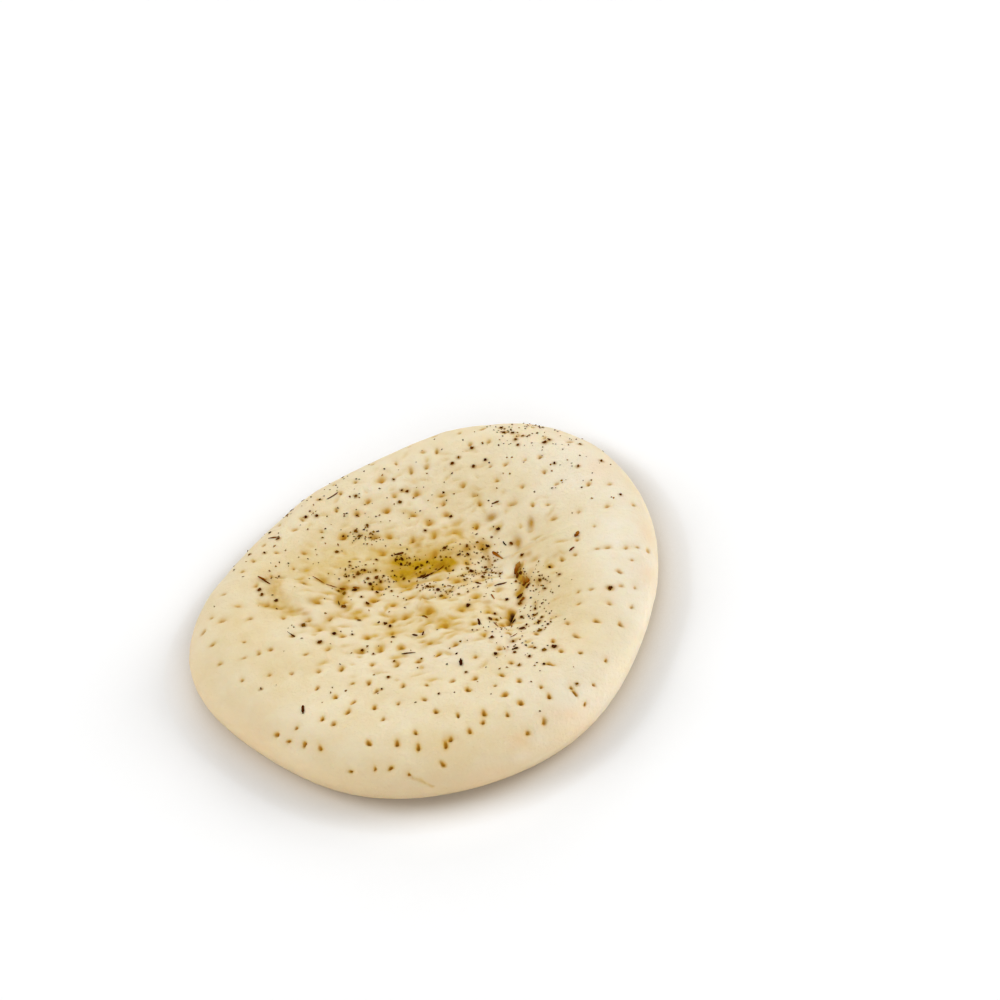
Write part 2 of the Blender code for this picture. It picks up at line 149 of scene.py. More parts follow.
# A wider wave decides where they show: not below the first value, and fully above the second.
WRINKLE_GAPS = (-0.2, 0.5)
# Puckers, which are small dents in the sunken middle: how many, the spread of their headings
# in degrees, and their least and greatest half length, half width and depth.
PUCKERS = 240
PUCKER_HEADINGS = 28
PUCKER_LENGTHS = (0.9 * MM, 2.8 * MM)
PUCKER_WIDTHS = (0.6 * MM, 1.1 * MM)
PUCKER_DEPTHS = (0.13 * MM, 0.4 * MM)
# They keep clear of each other and of holes. They are strewn over this part of the well's
# reach, where the middle counts as sunk by at least the last share.
PUCKER_CLEARANCE = 2.6 * MM
PUCKER_SPREAD = 0.5
PUCKERS_END = 0.05

# --- Docking holes ---
# Rows of holes: (x, y, heading in degrees, pitch, count), with x, y and pitch in mm.
DOCKER_ROWS = (
    (-62, -25.5, -7, 8.1, 4),
    (-61.5, -17.5, 8, 4.9, 3),
    (-54, -49, -36, 5.9, 4),
    (-46.5, -49.5, -2, 8.5, 6),
    (-39, -36.5, -39, 7.6, 3),
    (-34, -53, -9, 15.7, 2),
    (-24, -63.5, -2, 16, 2),
    (-32, -70, -11, 8.2, 2),
    (-18.2, -73.2, -39, 6.1, 2),
    (-15.5, -66, -18, 7, 2),
    (-2, -75.5, 70, 6.5, 2),
    (2.5, -68, 15, 5.8, 3),
    (-1.5, -58.3, -13, 8, 4),
    (21.5, -56.5, -38, 6, 2),
    (32, -67, 19, 16.5, 2),
    (36, -59.3, 12, 7.6, 2),
    (34.5, -55.2, 1, 8.3, 3),
    (11, -51.3, -4, 8.2, 3),
    (-10.5, -43.5, -7, 8.1, 5),
    (-19, -43, -38, 12, 1),
    (-27, -37, -12, 5, 2),
    (38, -46.5, 40, 7, 2),
    (48, -43, -17, 8.4, 2),
    (33.5, -36.5, 4, 7.5, 3),
    (46.5, -28.3, -7, 8.8, 3),
    (52.5, -15.8, 1, 4.5, 5),
    (52, -21, -5, 9.1, 2),
    (65.5, -9.5, 42, 8.1, 2),
    (61.8, 2.8, -5, 4.1, 5),
    (45.5, 1.5, 14, 4.2, 3),
    (55.5, 9.5, 34, 8.2, 2),
    (49.5, 21, 2, 9, 4),
    (43, 30.5, -18, 4.8, 2),
    (36.5, 33.5, 50, 7, 2),
    (31.5, 50.5, 0, 6, 4),
    (0, 28.3, 1, 7.5, 4),
    (26, 36.5, 115, 5, 3),
    (13.5, 36.5, 98, 4, 3),
)
ROW_WANDER = 0.35 * MM
# Where no row is listed: (pitch along a row, gap between rows, heading in degrees), laid out
# as far from the middle as the reach.
DOCKER_PASS = (8.8 * MM, 8.0 * MM, -7)
PASS_WANDER = 1.3 * MM
PASS_REACH = 1.3 * MEAN_RADIUS
ROW_CLEARANCE = 6.2 * MM
HOLE_CLEARANCE = 3.4 * MM
# Each size on the rim, and what it becomes in the sunken middle.
HOLE_RADIUS = (0.54 * MM, 0.75 * MM)
HOLE_DEPTH = (1.1 * MM, 0.9 * MM)
DIMPLE_RADIUS = (1.4 * MM, 1.85 * MM)
DIMPLE_DEPTH = (0.35 * MM, 0.56 * MM)
# How holes vary: in size and depth, in length for their width, and in heading, in degrees.
HOLE_VARIETY = (0.75, 1.2)
HOLE_STRETCH = (1.0, 1.7)
HOLE_TURN = 28
# How firmly the docker pressed on the rim, in the sunken middle, and at the front, which
# starts and is full this far before the origin.
FIRMNESS = (0.5, 0.74, 1.0)
FIRM_FRONT = (10 * MM, 45 * MM)
# How deep a core is once it has its full painted shade.
FULL_DEPTH = 0.85 * MM
# What is pressed into the dough wanders a little: (shift, span).
WANDER = (0.6 * MM, 2.6 * MM)
# A dent is steep on its side towards the front and gentle towards the back.
STEEP_SIDE = 1.5
GENTLE_SIDE = 0.75
# How steep the cores of holes and the soft dents are.
CORE_STEEPNESS = 4
SOFT_STEEPNESS = 2
# A dent has no depth worth counting beyond this many of its reaches.
DENT_END = 3.2
# The docker misses the outermost skin and these round patches: (x, y, radius) in mm.
HOLES_END = 10 * MM
UNDOCKED = (
    (-25, 19, 13), (-60, -42, 17), (66, -44, 12), (-30, -58, 8),
    (10, -72, 14), (50, 5, 30), (-45, 9, 7), (66, 44, 10),
)

# --- Oil: (strength, x, y, reach along x, reach along y), with x, y and reach in mm ---
OIL_PUDDLES = (
    (0.74, -4, 16, 7.5, 4.2),
    (0.60, 5, 16.5, 6.5, 3.6),
    (0.50, 12, 17, 4, 2.2),
    (0.30, -5, 22, 4, 3),
    (0.40, 2, 19.5, 4.2, 1.8),
    (0.25, 9, 18, 4, 2.0),
    (0.55, 3.5, 13.4, 4.5, 1.1),
    (0.45, -6.3, 21, 2.4, 1.2),
    (0.40, 11, 15.6, 3.5, 1.0),
    (0.35, -8.5, 13.8, 2.5, 1.5),
)
# The puddle's sharp front edge, at the foot of the broad fold's front, in mm.
PUDDLE_SHORE = (
    (-18, 18), (-10.7, 15.5), (-7, 11.8), (1.5, 10.9), (8, 12.6), (16.6, 14.3), (22, 16.5),
)
# How far before and behind that edge the oil thins out.
SHORE_EDGE = (-0.8 * MM, 1.2 * MM)
OIL_FILMS = (
    (0.80, -3, 22, 15, 8),
    (0.60, 14, 21, 9, 6),
    (0.5, -48, 3, 6, 5),
    (0.3, -47, -30, 14, 12),
    (0.25, 50, -26, 12, 14),
    (0.60, -26, 21, 15, 9),
    (0.40, -24, 34, 18, 8),
    (0.30, -45, 22, 14, 8),
    (0.22, 26, 46, 18, 10),
    (0.20, 0, -70, 40, 8),
    (0.45, 46, 0, 9, 22),
    (0.30, -64, -4, 10, 16),
    (0.20, 0, -30, 36, 24),
    (0.18, -38, 10, 9, 7),
    (0.22, 0, -8, 26, 12),
)
# Where oil soaked into folds and left an ochre stain, in the same order of values.
OIL_STAINS = (
    (1.1, -26, 12.2, 1.9, 1.2),
    (1.0, -21, 11.6, 2.2, 1.0),
    (0.7, -28.2, 5, 1.0, 3.0),
    (0.5, -35.9, 4.3, 1.8, 1.5),
    (0.9, -42.8, 1.0, 3.0, 0.8),
    (0.7, -39.2, -1.0, 1.6, 0.9),
    (0.5, -49.5, 3.6, 2.6, 0.9),
    (0.3, -50, 13, 2.6, 5),
    (0.6, -50, 17.5, 4, 1.5),
    (0.5, -33, 16, 2.4, 0.8),
    (0.8, 35.9, 18.9, 1.3, 2.6),
    (0.5, 29.1, 25.2, 1.2, 1.0),
    (0.4, 22.5, 22.6, 1.4, 1.0),
    (0.9, 34, 7.2, 1.0, 2.6),
    (1.1, 36, -0.2, 2.0, 3.0),
    (1.0, 33, -5, 1.5, 2.4),
    (0.6, 39.8, -3.4, 0.9, 2.4),
    (0.5, 39.9, 7.8, 2.0, 1.2),
    (0.4, 20, 17.5, 1.6, 0.8),
    (0.5, 28.5, -13, 2.2, 3.5),
    (1.7, 28.4, 31.7, 1.8, 1.1),
    (1.1, 41.6, 24.4, 1.0, 1.9),
    (0.8, 1.8, 26.3, 1.7, 1.2),
    (0.15, -46.5, 7, 2.4, 3),
    (0.7, 34.5, 4, 1.4, 3),
    (0.8, 33.2, -8.6, 1.6, 1.8),
    (0.9, 18.5, 20.8, 1.8, 1.0),
    (0.8, 24, 22.5, 1.3, 1.8),
    (0.8, 13.1, 19.9, 2.2, 0.9),
    (0.8, 25, 15.5, 1.0, 2.4),
    (0.8, 20.5, 9.5, 1.8, 1.2),
    (0.7, 10.1, 2.6, 1.8, 1.0),
    (0.6, 2.3, 5.7, 1.8, 0.9),
    (0.5, -16, 18, 3, 1.2),
    (0.6, -4.8, 22.2, 2.4, 1.1),
    (0.6, -12, 13.6, 2.6, 1.2),
    (0.5, 35.7, 19.1, 1.5, 1.8),
    (0.65, 24.6, 19.8, 0.9, 1.5),
    (0.5, 27.4, 9.4, 1.4, 1.2),
    (0.5, 26.9, -0.9, 1.6, 1.1),
    (0.7, 22, -7.1, 1.5, 1.0),
    (0.45, 43.1, -5.1, 1.5, 1.1),
    (0.7, 37.6, -12.8, 1.1, 1.3),
    (0.65, 38.5, 11, 1.5, 1.4),
    (0.5, 23.5, 10.6, 1.3, 0.9),
    (0.4, 47.6, 5.3, 1.8, 1.1),
)

# --- Where the dough's finish, and its painted light and shade, change ---
# The palest parts of the rim, partly flour and partly painted highlight where the light falls, in the
# same order of values.
FLOUR_AND_HIGHLIGHTS = (
    (0.9, 76, -8, 16, 42),
    (0.9, 52, -64, 24, 18),
    (0.5, 60, 44, 18, 18),
    (0.5, 12, -30, 30, 8),
    (0.9, 24, -78, 3, 1.5),
    (0.7, 30.5, -72, 2.5, 3),
)
# Dents have a golden colour, partly oil gathered in them and partly painted warm shade, with this
# share of it out on the rim.
GOLD_ON_RIM = 0.35
# Valleys of the fine relief have this share of it, as painted shade, fully where they are this deep.
VALLEY_SHADE = 0.4
VALLEY_DEPTH = 0.25 * MM
# Dents lose this share of it towards the back, between these places.
GOLD_LOST = 0.4
PALER_BACK = (22 * MM, 38 * MM)
# What makes it gather in the deepest parts, and how ragged it is.
GOLD_GATHERING = 1.2
GOLD_RAGGEDNESS = 0.4
# Every mask's unevenness: (swing, span).
MASK_RAGGEDNESS = ((0.5, 5 * MM), (0.3, 1.8 * MM))
# The painted shade of a hole's core is softer than its form, and the oil and painted warm shade round
# it spread wider.
CORE_SHADE_STEEPNESS = 2.5
PIT_COLOUR_SPREAD = 1.4
# The side's duller, tan colour is painted shade. It grows from this part of the arc above the widest
# line to this part of the arc below it. It loses a share, as painted light, on the side that faces
# the heading, in degrees.
SIDE_SHADE_SPAN = (0.9, 0.5)
LIT_HEADING = -20
SHADE_LOST_WHERE_LIT = 0.75
# Toasted blushes on the rim, in the same order of values.
TOASTS = (
    (0.8, 80, 10, 4, 6),
    (0.7, 77, -9, 6, 5),
    (0.6, 68, 41, 5, 5),
    (0.6, 49, -72, 12, 6),
    (0.5, 14, -86, 14, 5),
    (0.4, -64, -46, 10, 10),
    (0.5, -20, 84, 14, 6),
    (0.5, -84, 8, 6, 14),
    (1.0, 23.5, -72, 4, 3),
    (0.7, 41, -64.5, 6, 2.5),
    (0.6, 13.5, -81.5, 4, 2),
)

# --- Dried herbs ---
# Whole leaves and stalks: (x, y, length, width in mm, heading in degrees, tone from dark to red).
STALKS = (
    (27.6, 18.0, 8.2, 1.4, -58, 0.8),
    (25.4, 21.6, 1.5, 1.1, -50, 0.0),
    (3.5, 12.2, 4.6, 0.8, 25, 0.1),
    (8.0, 15.2, 4.2, 0.6, 38, 0.3),
    (1.0, 12.2, 2.6, 0.9, 5, 0.1),
    (28, 1.7, 4.8, 0.8, 16, 0.2),
    (31, 36.2, 3.6, 0.8, 12, 0.3),
    (-44, -10.3, 5.2, 0.6, -42, 0.2),
    (-7, -26.7, 4.8, 0.6, -14, 0.2),
    (9.8, -37, 3.2, 1.4, 88, 0.0),
    (17.8, -17.8, 4.2, 1.1, 90, 0.1),
    (-52.2, 18.2, 3.6, 0.7, -40, 0.7),
    (-51.2, 16.6, 4.4, 0.9, -50, 0.3),
    (-33.5, 16, 5.0, 0.5, -40, 0.9),
    (-29.5, 13.3, 4.0, 0.4, -22, 0.7),
    (-27.9, 4.5, 4.0, 0.6, 88, 0.1),
    (-25.9, 12.6, 2.2, 1.2, -20, 0.6),
    (-21.3, 11.6, 2.4, 1.0, -20, 0.9),
    (-5, 24.2, 3.6, 1.1, 8, 0.2),
    (31.4, 20.5, 2.2, 0.7, -70, 0.0),
    (34.1, 8.2, 5.0, 1.7, 62, 1.0),
    (33.6, 5.0, 2.2, 1.2, 75, 0.3),
    (35.4, 1.0, 3.6, 1.6, 82, 1.0),
    (36.9, 0.4, 3.2, 1.5, 96, 1.0),
    (36.4, -2.2, 2.4, 1.1, 20, 0.5),
    (33.0, -5.6, 3.6, 1.6, 66, 0.1),
    (33.6, -8.2, 2.4, 1.1, 40, 0.6),
    (28.9, -14.6, 4.6, 1.3, 80, 0.0),
    (29.5, -17.2, 2.0, 1.1, 40, 0.0),
    (24, -4.8, 2.2, 0.8, -65, 0.9),
    (23.3, -19, 2.6, 0.5, -60, 0.4),
    (20, 4, 2.6, 0.9, -45, 0.3),
    (28.5, -27.5, 3.4, 0.4, 42, 0.6),
    (-43.7, -44, 3.5, 1.3, 85, 0.1),
    (0.5, -9, 2.6, 0.7, -60, 0.6),
    (-4, -17.5, 2.4, 0.8, -40, 0.1),
    (-1.2, -17.5, 2.2, 0.8, 75, 0.1),
    (56.1, 11.6, 2.6, 1.6, 52, 0.9),
    (53.4, 5.6, 2.2, 0.8, 30, 0.3),
    (-24, 52, 5.0, 0.7, 30, 0.2),
    (-46, 38, 4.0, 0.8, -20, 0.4),
)
# Larger flakes of leaf: (x, y, length) in mm.
FLAKES = (
    (41, -38.7, 2.2), (37.5, -39.5, 1.6), (62.3, -15.8, 1.9), (-53, 10.5, 1.5),
    (-48.5, 7, 1.4), (-40.5, -6, 2.2), (-30.7, -11.2, 1.9), (-35.8, -15, 2.1), (-22.2, -20.6, 1.4),
    (-26.3, 1.8, 2.1), (-18.3, 2.8, 1.8), (-20, 7, 1.3), (-27.5, 11.5, 1.5), (-25.6, 10, 1.7),
    (-22, 10.8, 2.1), (-20, 17.2, 1.9), (-17, 15, 1.3), (-14, 15.2, 1.6), (-12.8, 13.4, 1.4),
    (-17.5, 18.5, 1.1), (-13.8, 18.5, 1.1), (-13, 22.8, 1.1), (-8.3, 17.8, 0.9), (-5.8, 15.4, 1.1),
    (0, 18, 1.9), (2, 18.5, 1.1), (2, 13, 1.9), (-4.3, 22, 1.7), (-6.3, 22.2, 1.3), (-13.3, -8, 1.6),
    (-11.3, -16.5, 1.5), (-21.8, -5.5, 1.3), (-24.7, -12.5, 1.1), (-12.1, -29.2, 1.1),
    (-14.7, -37.3, 1.3), (-56.5, -30.8, 1.0), (15.2, -7.7, 2.0), (28.5, -6.5, 1.3), (32.5, -9.5, 1.7),
    (34, -7.6, 1.3), (21.8, -16, 1.7), (23.8, -16, 1.1), (32.2, -16.5, 1.6), (37.3, -15, 1.4),
    (31.7, -23, 2.2), (37.6, -22.3, 1.7), (39, -20.6, 1.3), (37.5, -27.5, 2.0), (28, -31, 1.9),
    (28.5, -35.5, 1.6), (21.3, -28.3, 1.5), (21.5, -37, 1.5), (28.5, -44.5, 1.5), (47.5, -4, 1.4),
    (41.8, -7.3, 1.4), (23.3, 13.3, 1.4), (18.5, 11.8, 1.6), (17.3, 13.2, 1.2), (36.4, 12.2, 1.6),
    (33.6, 19.5, 1.6), (30.1, 26.4, 1.6), (10.8, 22.5, 1.6), (18.5, 22, 1.5), (5.3, 31.3, 1.2),
    (14.8, 35.2, 1.4), (1.5, 49, 1.4), (25.8, 52.7, 1.5), (30.3, 54.3, 1.2), (26.5, 61.2, 1.5),
    (37.3, 68.9, 1.5), (38, 65.8, 1.5), (42.5, 57.8, 1.2), (51.3, 56.5, 1.7), (53.6, 46.2, 1.2),
    (61, 42.5, 1.3), (68.8, 45, 1.5), (72.5, 27, 1.1), (40.7, -2.5, 1.8), (34.8, 5, 1.8),
)
# Drifts: (x, y, spread along x, spread along y in mm, small flakes, crumbs).
HERB_DRIFTS = (
    (0, 17, 8, 5, 4, 40),
    (-18, 34, 2.2, 1.6, 1, 18),
    (-13.5, 32, 2.5, 2, 1, 18),
    (-20, 17.6, 3.2, 1.8, 4, 26),
    (-13.5, 14, 3, 2, 3, 22),
    (-4, 21.7, 2, 1.2, 2, 10),
    (2.3, 5.7, 2, 1.2, 2, 14),
    (10, 3, 3.2, 2, 3, 22),
    (17.5, 8.5, 3, 2.5, 3, 26),
    (14, 20.5, 3, 1.6, 3, 16),
    (24, 20, 3, 5, 4, 34),
    (24, 8, 3.5, 5, 4, 44),
    (38.5, 1, 2.6, 3, 1, 26),
    (40, -7, 3.5, 3.5, 1, 28),
    (37.8, -20, 2.6, 4.5, 3, 38),
    (22.5, -20, 3.5, 4, 1, 20),
    (28, -34, 4, 5, 2, 28),
    (-12, 3, 18, 8, 6, 24),
    (40, 66, 7, 4.5, 2, 40),
    (48, 60, 10, 6, 2, 34),
    (60, 42, 8, 10, 1, 32),
    (-48, 8, 7, 8, 2, 12),
    (-4, 44, 20, 8, 8, 60),
    (-38, 34, 14, 10, 8, 40),
    (-20, 60, 22, 8, 6, 30),
    (-10, -25, 24, 12, 6, 30),
    (20, -50, 26, 14, 3, 16),
)
# A stalk's bow is a part of its length. Its taper, girths and lift off the skin are parts of
# its width.
STALK_RINGS = 7
STALK_SIDES = 6
STALK_BOW = 0.07
STALK_TAPER = 0.6
STALK_GIRTHS = (0.6, 1.2)
STALK_LIFT = 1 / 6
# How flat a narrow stalk and a wide one are.
STALK_FLATNESS = (0.7, 0.35)
WIDE_STALK = 1.05 * MM
# What a stalk's tone is multiplied by at its two ends.
STALK_TONES = (0.3, 1.15)
# A drift's flakes have these lengths in mm, and every flake's width is a part of its length.
FLAKE_LENGTHS = (0.8, 1.6)
FLAKE_SLENDERNESS = (0.55, 0.95)
FLAKE_THICKNESS = 0.25 * MM
FLAKE_CLEARANCE = 1.8 * MM
# Its corners shift by up to this part of the gap between them, and reach out unevenly. Its
# curl is a part of its length, and its twist and drop are parts of the curl.
FLAKE_CORNERS = 9
FLAKE_CORNER_SHIFT = 0.25
FLAKE_REACHES = (0.6, 1.15)
FLAKE_CURL = 0.15
FLAKE_TWIST = 0.3
FLAKE_DROP = 0.4
FLAKE_LIFT = 0.08 * MM
# The oil round a flake, and the flake's oil stain with a painted shadow: (strength, reach along x,
# reach along y), with the reaches in parts of its length. Oil is round flakes above a length in mm,
# and the painted shadow is shifted to the front by so many mm.
FLAKE_OIL = (0.3, 0.95, 0.8)
OILED_FLAKE = 0.9
FLAKE_STAIN_AND_SHADOW = (1.4, 0.51, 0.45)
FLAKE_SHADOW_SHIFT = 0.15
# Crumbs: the shift and the reaches of their corners are parts of their size.
CRUMB_SIZES = (0.55 * MM, 1.3 * MM)
CRUMB_CLEARANCE = 0.8 * MM
CRUMB_CORNER_SHIFT = 0.15
CRUMB_REACHES = (0.3, 0.55)
CRUMB_PROPORTIONS = (1, 0.8, 0.5)
CRUMB_LIFT = 0.1 * MM
# Edges of the herbs that turn by more than this look sharp.
SHARP_EDGE = math.radians(35)
# The skin's slope is measured between points this far to each side.
SLOPE_STEP = 0.4 * MM

# --- Fineness of the skin ---
# Gaps between the skin's points, and between those that lie within the margin of a crease.
SKIN_GRID = 0.78 * MM
FINE_GRID = 0.42 * MM
CREASE_MARGIN = 3 * MM
# Rings of points in a hole's core: (distance out in parts of its reach, points).
CORE_RINGS = ((0, 1), (0.4, 6), (0.68, 9), (0.88, 11), (1.08, 12), (1.45, 12))
# The grid keeps this much further out than the last ring.
CORE_MARGIN = 0.15
UNDERSIDE_GRID = 2.4 * MM
EDGE_STEPS = 560
OUTLINE_SAMPLES = 721
# The curves of folds and creases are cut into straight pieces of about this length.
PATH_STEP = 3 * MM

# --- Camera and light ---
SCALE = 0.34 * MM  # what one of the image's 1000 columns covers at the dough
CAMERA_DISTANCE = 1.2
CAMERA_RISE = math.radians(45)
CAMERA_ROLL = math.radians(11)
OUTLINE_MIDDLE_IN_IMAGE = (423, 607)
IMAGE_MIDDLE = 500
SENSOR_WIDTH = 36
# Soft boxes: (name, heading and rise in degrees, width, watts), all at the same distance.
SOFT_BOXES = (
    ("right_softbox", 8, 30, 0.8, 11.5),
    ("back_softbox", 90, 16, 0.8, 6.6),
    ("left_softbox", 166, 35, 0.8, 10.3),
    ("front_softbox", 270, 35, 0.8, 8.0),
)
SOFT_BOX_DISTANCE = 1.3
SKY_STRENGTH = 0.03
# The floor is a square sweep: half its width, its whites and how many mottles to a metre.
FLOOR_REACH = 3.0
FLOOR_WHITES = ((0.96, 0.96, 0.96, 1), (0.98, 0.98, 0.978, 1))
FLOOR_MOTTLES = 6.0
# A little light that it lends itself, as an overexposed backdrop does.
FLOOR_GLOW = 0.06
# A painted contact shadow: the floor is dull and warm right beside the base, as far out as the reach,
# and fully so where no more than this share of the light from above gets in.
FLOOR_SHADE = (0.55, 0.49, 0.41, 1)
FLOOR_SHADE_REACH = 14 * MM
FLOOR_SHADE_FULL = 0.35
FLOOR_SHADE_SAMPLES = 6


# ---------------------------------------------------------------- the dough's form


def lobed(base, lobes, angle):
    """base plus a sum of waves round the object."""
    total = np.full_like(angle, base)
    for waves, swing, heading in lobes:
        total = total + swing * np.cos(waves * (angle - math.radians(heading)))
    return total


def outline_radius(angle):
    return lobed(MEAN_RADIUS, OUTLINE_LOBES, angle)


def ease(low, high, value):
    """0 below low, 1 above high, and a smooth rise between them."""
    share = np.clip((value - low) / (high - low), 0, 1)
    return share * share * (3 - 2 * share)


def quarter_arc(a, b):
    """The length of a quarter of an ellipse with the semi-axes a and b."""
    return math.pi / 4 * (3 * (a + b) - math.sqrt((3 * a + b) * (a + 3 * b)))


UPPER_ARC = quarter_arc(RIM_ROUNDING, RIM_HEIGHT - WIDEST_HEIGHT)
LOWER_ARC = quarter_arc(UNDERCUT, WIDEST_HEIGHT)


def middle_of_outline():
    """The middle of the outline's box, which is the origin."""
    angle = np.linspace(0, 2 * math.pi, OUTLINE_SAMPLES)
    reach = outline_radius(angle)
    x, y = reach * np.cos(angle), reach * np.sin(angle)
    return np.array([(x.min() + x.max()) / 2, (y.min() + y.max()) / 2, 0])


def polar(uv):
    """How far from the middle points of the plane are, and in which direction."""
    return np.hypot(*uv.T), np.arctan2(uv[:, 1], uv[:, 0])


def bare_skin(walk, angle):
    """Places and outward normals of the skin before anything dents it."""
    reach = outline_radius(angle)
    rise = lobed(RIM_HEIGHT, RIM_HEIGHT_LOBES, angle) - WIDEST_HEIGHT
    top = reach - RIM_ROUNDING
    over = np.clip((walk - top) / UPPER_ARC, 0, 1) * math.pi / 2
    under = np.clip((walk - top - UPPER_ARC) / LOWER_ARC, 0, 1) * math.pi / 2
    radius = np.minimum(walk, top) + RIM_ROUNDING * np.sin(over) - UNDERCUT * (1 - np.cos(under))
    height = WIDEST_HEIGHT + rise * np.cos(over) - WIDEST_HEIGHT * np.sin(under)
    outward = np.sin(over) / RIM_ROUNDING * np.cos(under)
    upward = np.cos(over) / rise - np.sin(under) / WIDEST_HEIGHT
    length = np.hypot(outward, upward)
    outward, upward = outward / length, upward / length
    places = np.stack([radius * np.cos(angle), radius * np.sin(angle), height], -1)
    normals = np.stack([outward * np.cos(angle), outward * np.sin(angle), upward], -1)
    return places, normals


def smooth_path(points):
    """Points close together along a smooth curve through the given ones, which are in mm."""
    stops = np.array(points, float) * MM
    along = np.concatenate([[0], np.cumsum(np.linalg.norm(np.diff(stops, axis=0), axis=1))])
    slopes = np.gradient(stops, along, axis=0)
    path = []
    for i in range(len(stops) - 1):
        gap = along[i + 1] - along[i]
        for t in np.linspace(0, 1, max(2, int(gap / PATH_STEP) + 1))[:-1]:
            path.append(
                (2 * t**3 - 3 * t**2 + 1) * stops[i]
                + (t**3 - 2 * t**2 + t) * gap * slopes[i]
                + (3 * t**2 - 2 * t**3) * stops[i + 1]
                + (t**3 - t**2) * gap * slopes[i + 1]
            )
    return np.array(path + [stops[-1]])


def beside_path(uv, path):
    """How far each point is from a chain of straight pieces, and if it is on its left."""
    nearest = np.full(len(uv), np.inf)
    left = np.zeros(len(uv), bool)
    for start, end in zip(path[:-1], path[1:]):
        run = end - start
        share = np.clip((uv - start) @ run / (run @ run), 0, 1)
        away = np.linalg.norm(uv - start - share[:, None] * run, axis=1)
        turn = run[0] * (uv - start)[:, 1] - run[1] * (uv - start)[:, 0]
        left = np.where(away < nearest, turn > 0, left)
        nearest = np.minimum(nearest, away)
    return nearest, left


def from_well(uv):
    """How far points are from the well's centre, in parts of its reach."""
    return np.hypot(*((uv - WELL_CENTRE) / WELL_REACH).T)


def well(uv):
    """How far the middle has sunk."""
    return WELL_DEPTH * (1 - ease(*WELL_SLOPE, from_well(uv)))


def fold_depths(uv, folds):
    """How deep the given folds are."""
    depth = np.zeros(len(uv))
    for deep, left_width, right_width, points in folds:
        away, left = beside_path(uv, smooth_path(points))
        depth += deep * np.exp(-((away / np.where(left, left_width, right_width)) ** 2))
    return depth


def patches(uv, spots):
    """The sum of soft-edged elliptical spots: (strength, x, y, reach, reach), in mm."""
    total = np.zeros(len(uv))
    for strength, x, y, reach_x, reach_y in spots:
        away = (uv - np.array([x, y]) * MM) / (np.array([reach_x, reach_y]) * MM)
        total += strength * np.exp(-(away**2).sum(axis=1))
    return total


def rough_noise(uv, span, layer=0):
    """Smooth random values between -1 and 1 whose hills are about span across."""
    return np.array([noise.noise(Vector((u, v, layer * span)) / span) for u, v in uv])


def sunk_share(uv):
    """1 in the middle of the well and 0 from its brim outwards."""
    return 1 - ease(*SUNK_EDGE, from_well(uv))


class Dent(NamedTuple):
    """An elliptical dent in the skin; a high steepness gives it a flat floor and steep sides."""

    place: tuple
    heading: float
    along: float
    across: float
    depth: float
    steepness: float

    def offsets(self, uv):
        """The points in the dent's own directions, in parts of its reach."""
        away = uv - self.place
        away[:, 1] *= np.where(away[:, 1] < 0, STEEP_SIDE, GENTLE_SIDE)
        return away @ turned(self.heading) / [self.along, self.across]

    def spread(self, offsets):
        """The points of the plane that have these offsets."""
        away = (offsets * [self.along, self.across]) @ turned(self.heading).T
        away[:, 1] /= np.where(away[:, 1] < 0, STEEP_SIDE, GENTLE_SIDE)
        return self.place + away

    def touches(self, uv):
        """Which points are near enough for the dent to matter."""
        return np.abs(uv - self.place).max(axis=1) < DENT_END * max(self.along, self.across)


def wandering(uv):
    """The points with a small random shift, which makes what is pressed there uneven."""
    shift, span = WANDER
    return uv + shift * np.stack([rough_noise(uv, span, layer) for layer in WANDER_LAYERS], -1)


def pressed(uv, dents):
    """How deep the dents are at points of the flat skin."""
    uv = wandering(uv)
    depth = np.zeros(len(uv))
    for dent in dents:
        near = dent.touches(uv)
        share = np.hypot(*dent.offsets(uv[near]).T)
        depth[near] += dent.depth * np.exp(-(share**dent.steepness))
    return depth


def wrinkle_depth(uv):
    """Thin wandering lines, deeper in some places than in others."""
    depth = np.zeros(len(uv))
    for layer, (deep, span, sharpness) in enumerate(WRINKLES):
        line = (1 - np.abs(rough_noise(uv * FINE_STRETCH, span, WRINKLE_LAYER + layer))) ** sharpness
        shown = ease(*WRINKLE_GAPS, rough_noise(uv, 2 * span, WRINKLE_GAP_LAYER + layer))
        depth += deep * line * shown
    return depth


def wall_start(angle):
    """The walk to the rim's widest line."""
    return outline_radius(angle) - RIM_ROUNDING + UPPER_ARC


def undulations(uv, layers):
    """The height of some layers of the finer unevenness."""
    stretched = uv * FINE_STRETCH
    return sum(height * rough_noise(stretched, span, FINE_LAYER) for height, span in layers)


def fine_relief(uv):
    """The height of the fine unevenness, which is liveliest in the sunken middle."""
    walk, angle = polar(uv)
    widest = wall_start(angle)
    side = ease(widest - SIDE_START * UPPER_ARC, widest, walk)
    fine = undulations(uv, FINE_UNDULATIONS) - wrinkle_depth(uv)
    fine *= RIM_CALM + (1 - RIM_CALM) * sunk_share(uv)
    fine *= 1 + patches(uv, WRINKLED_RIM)
    return fine * (1 - (1 - SIDE_CALM) * side)


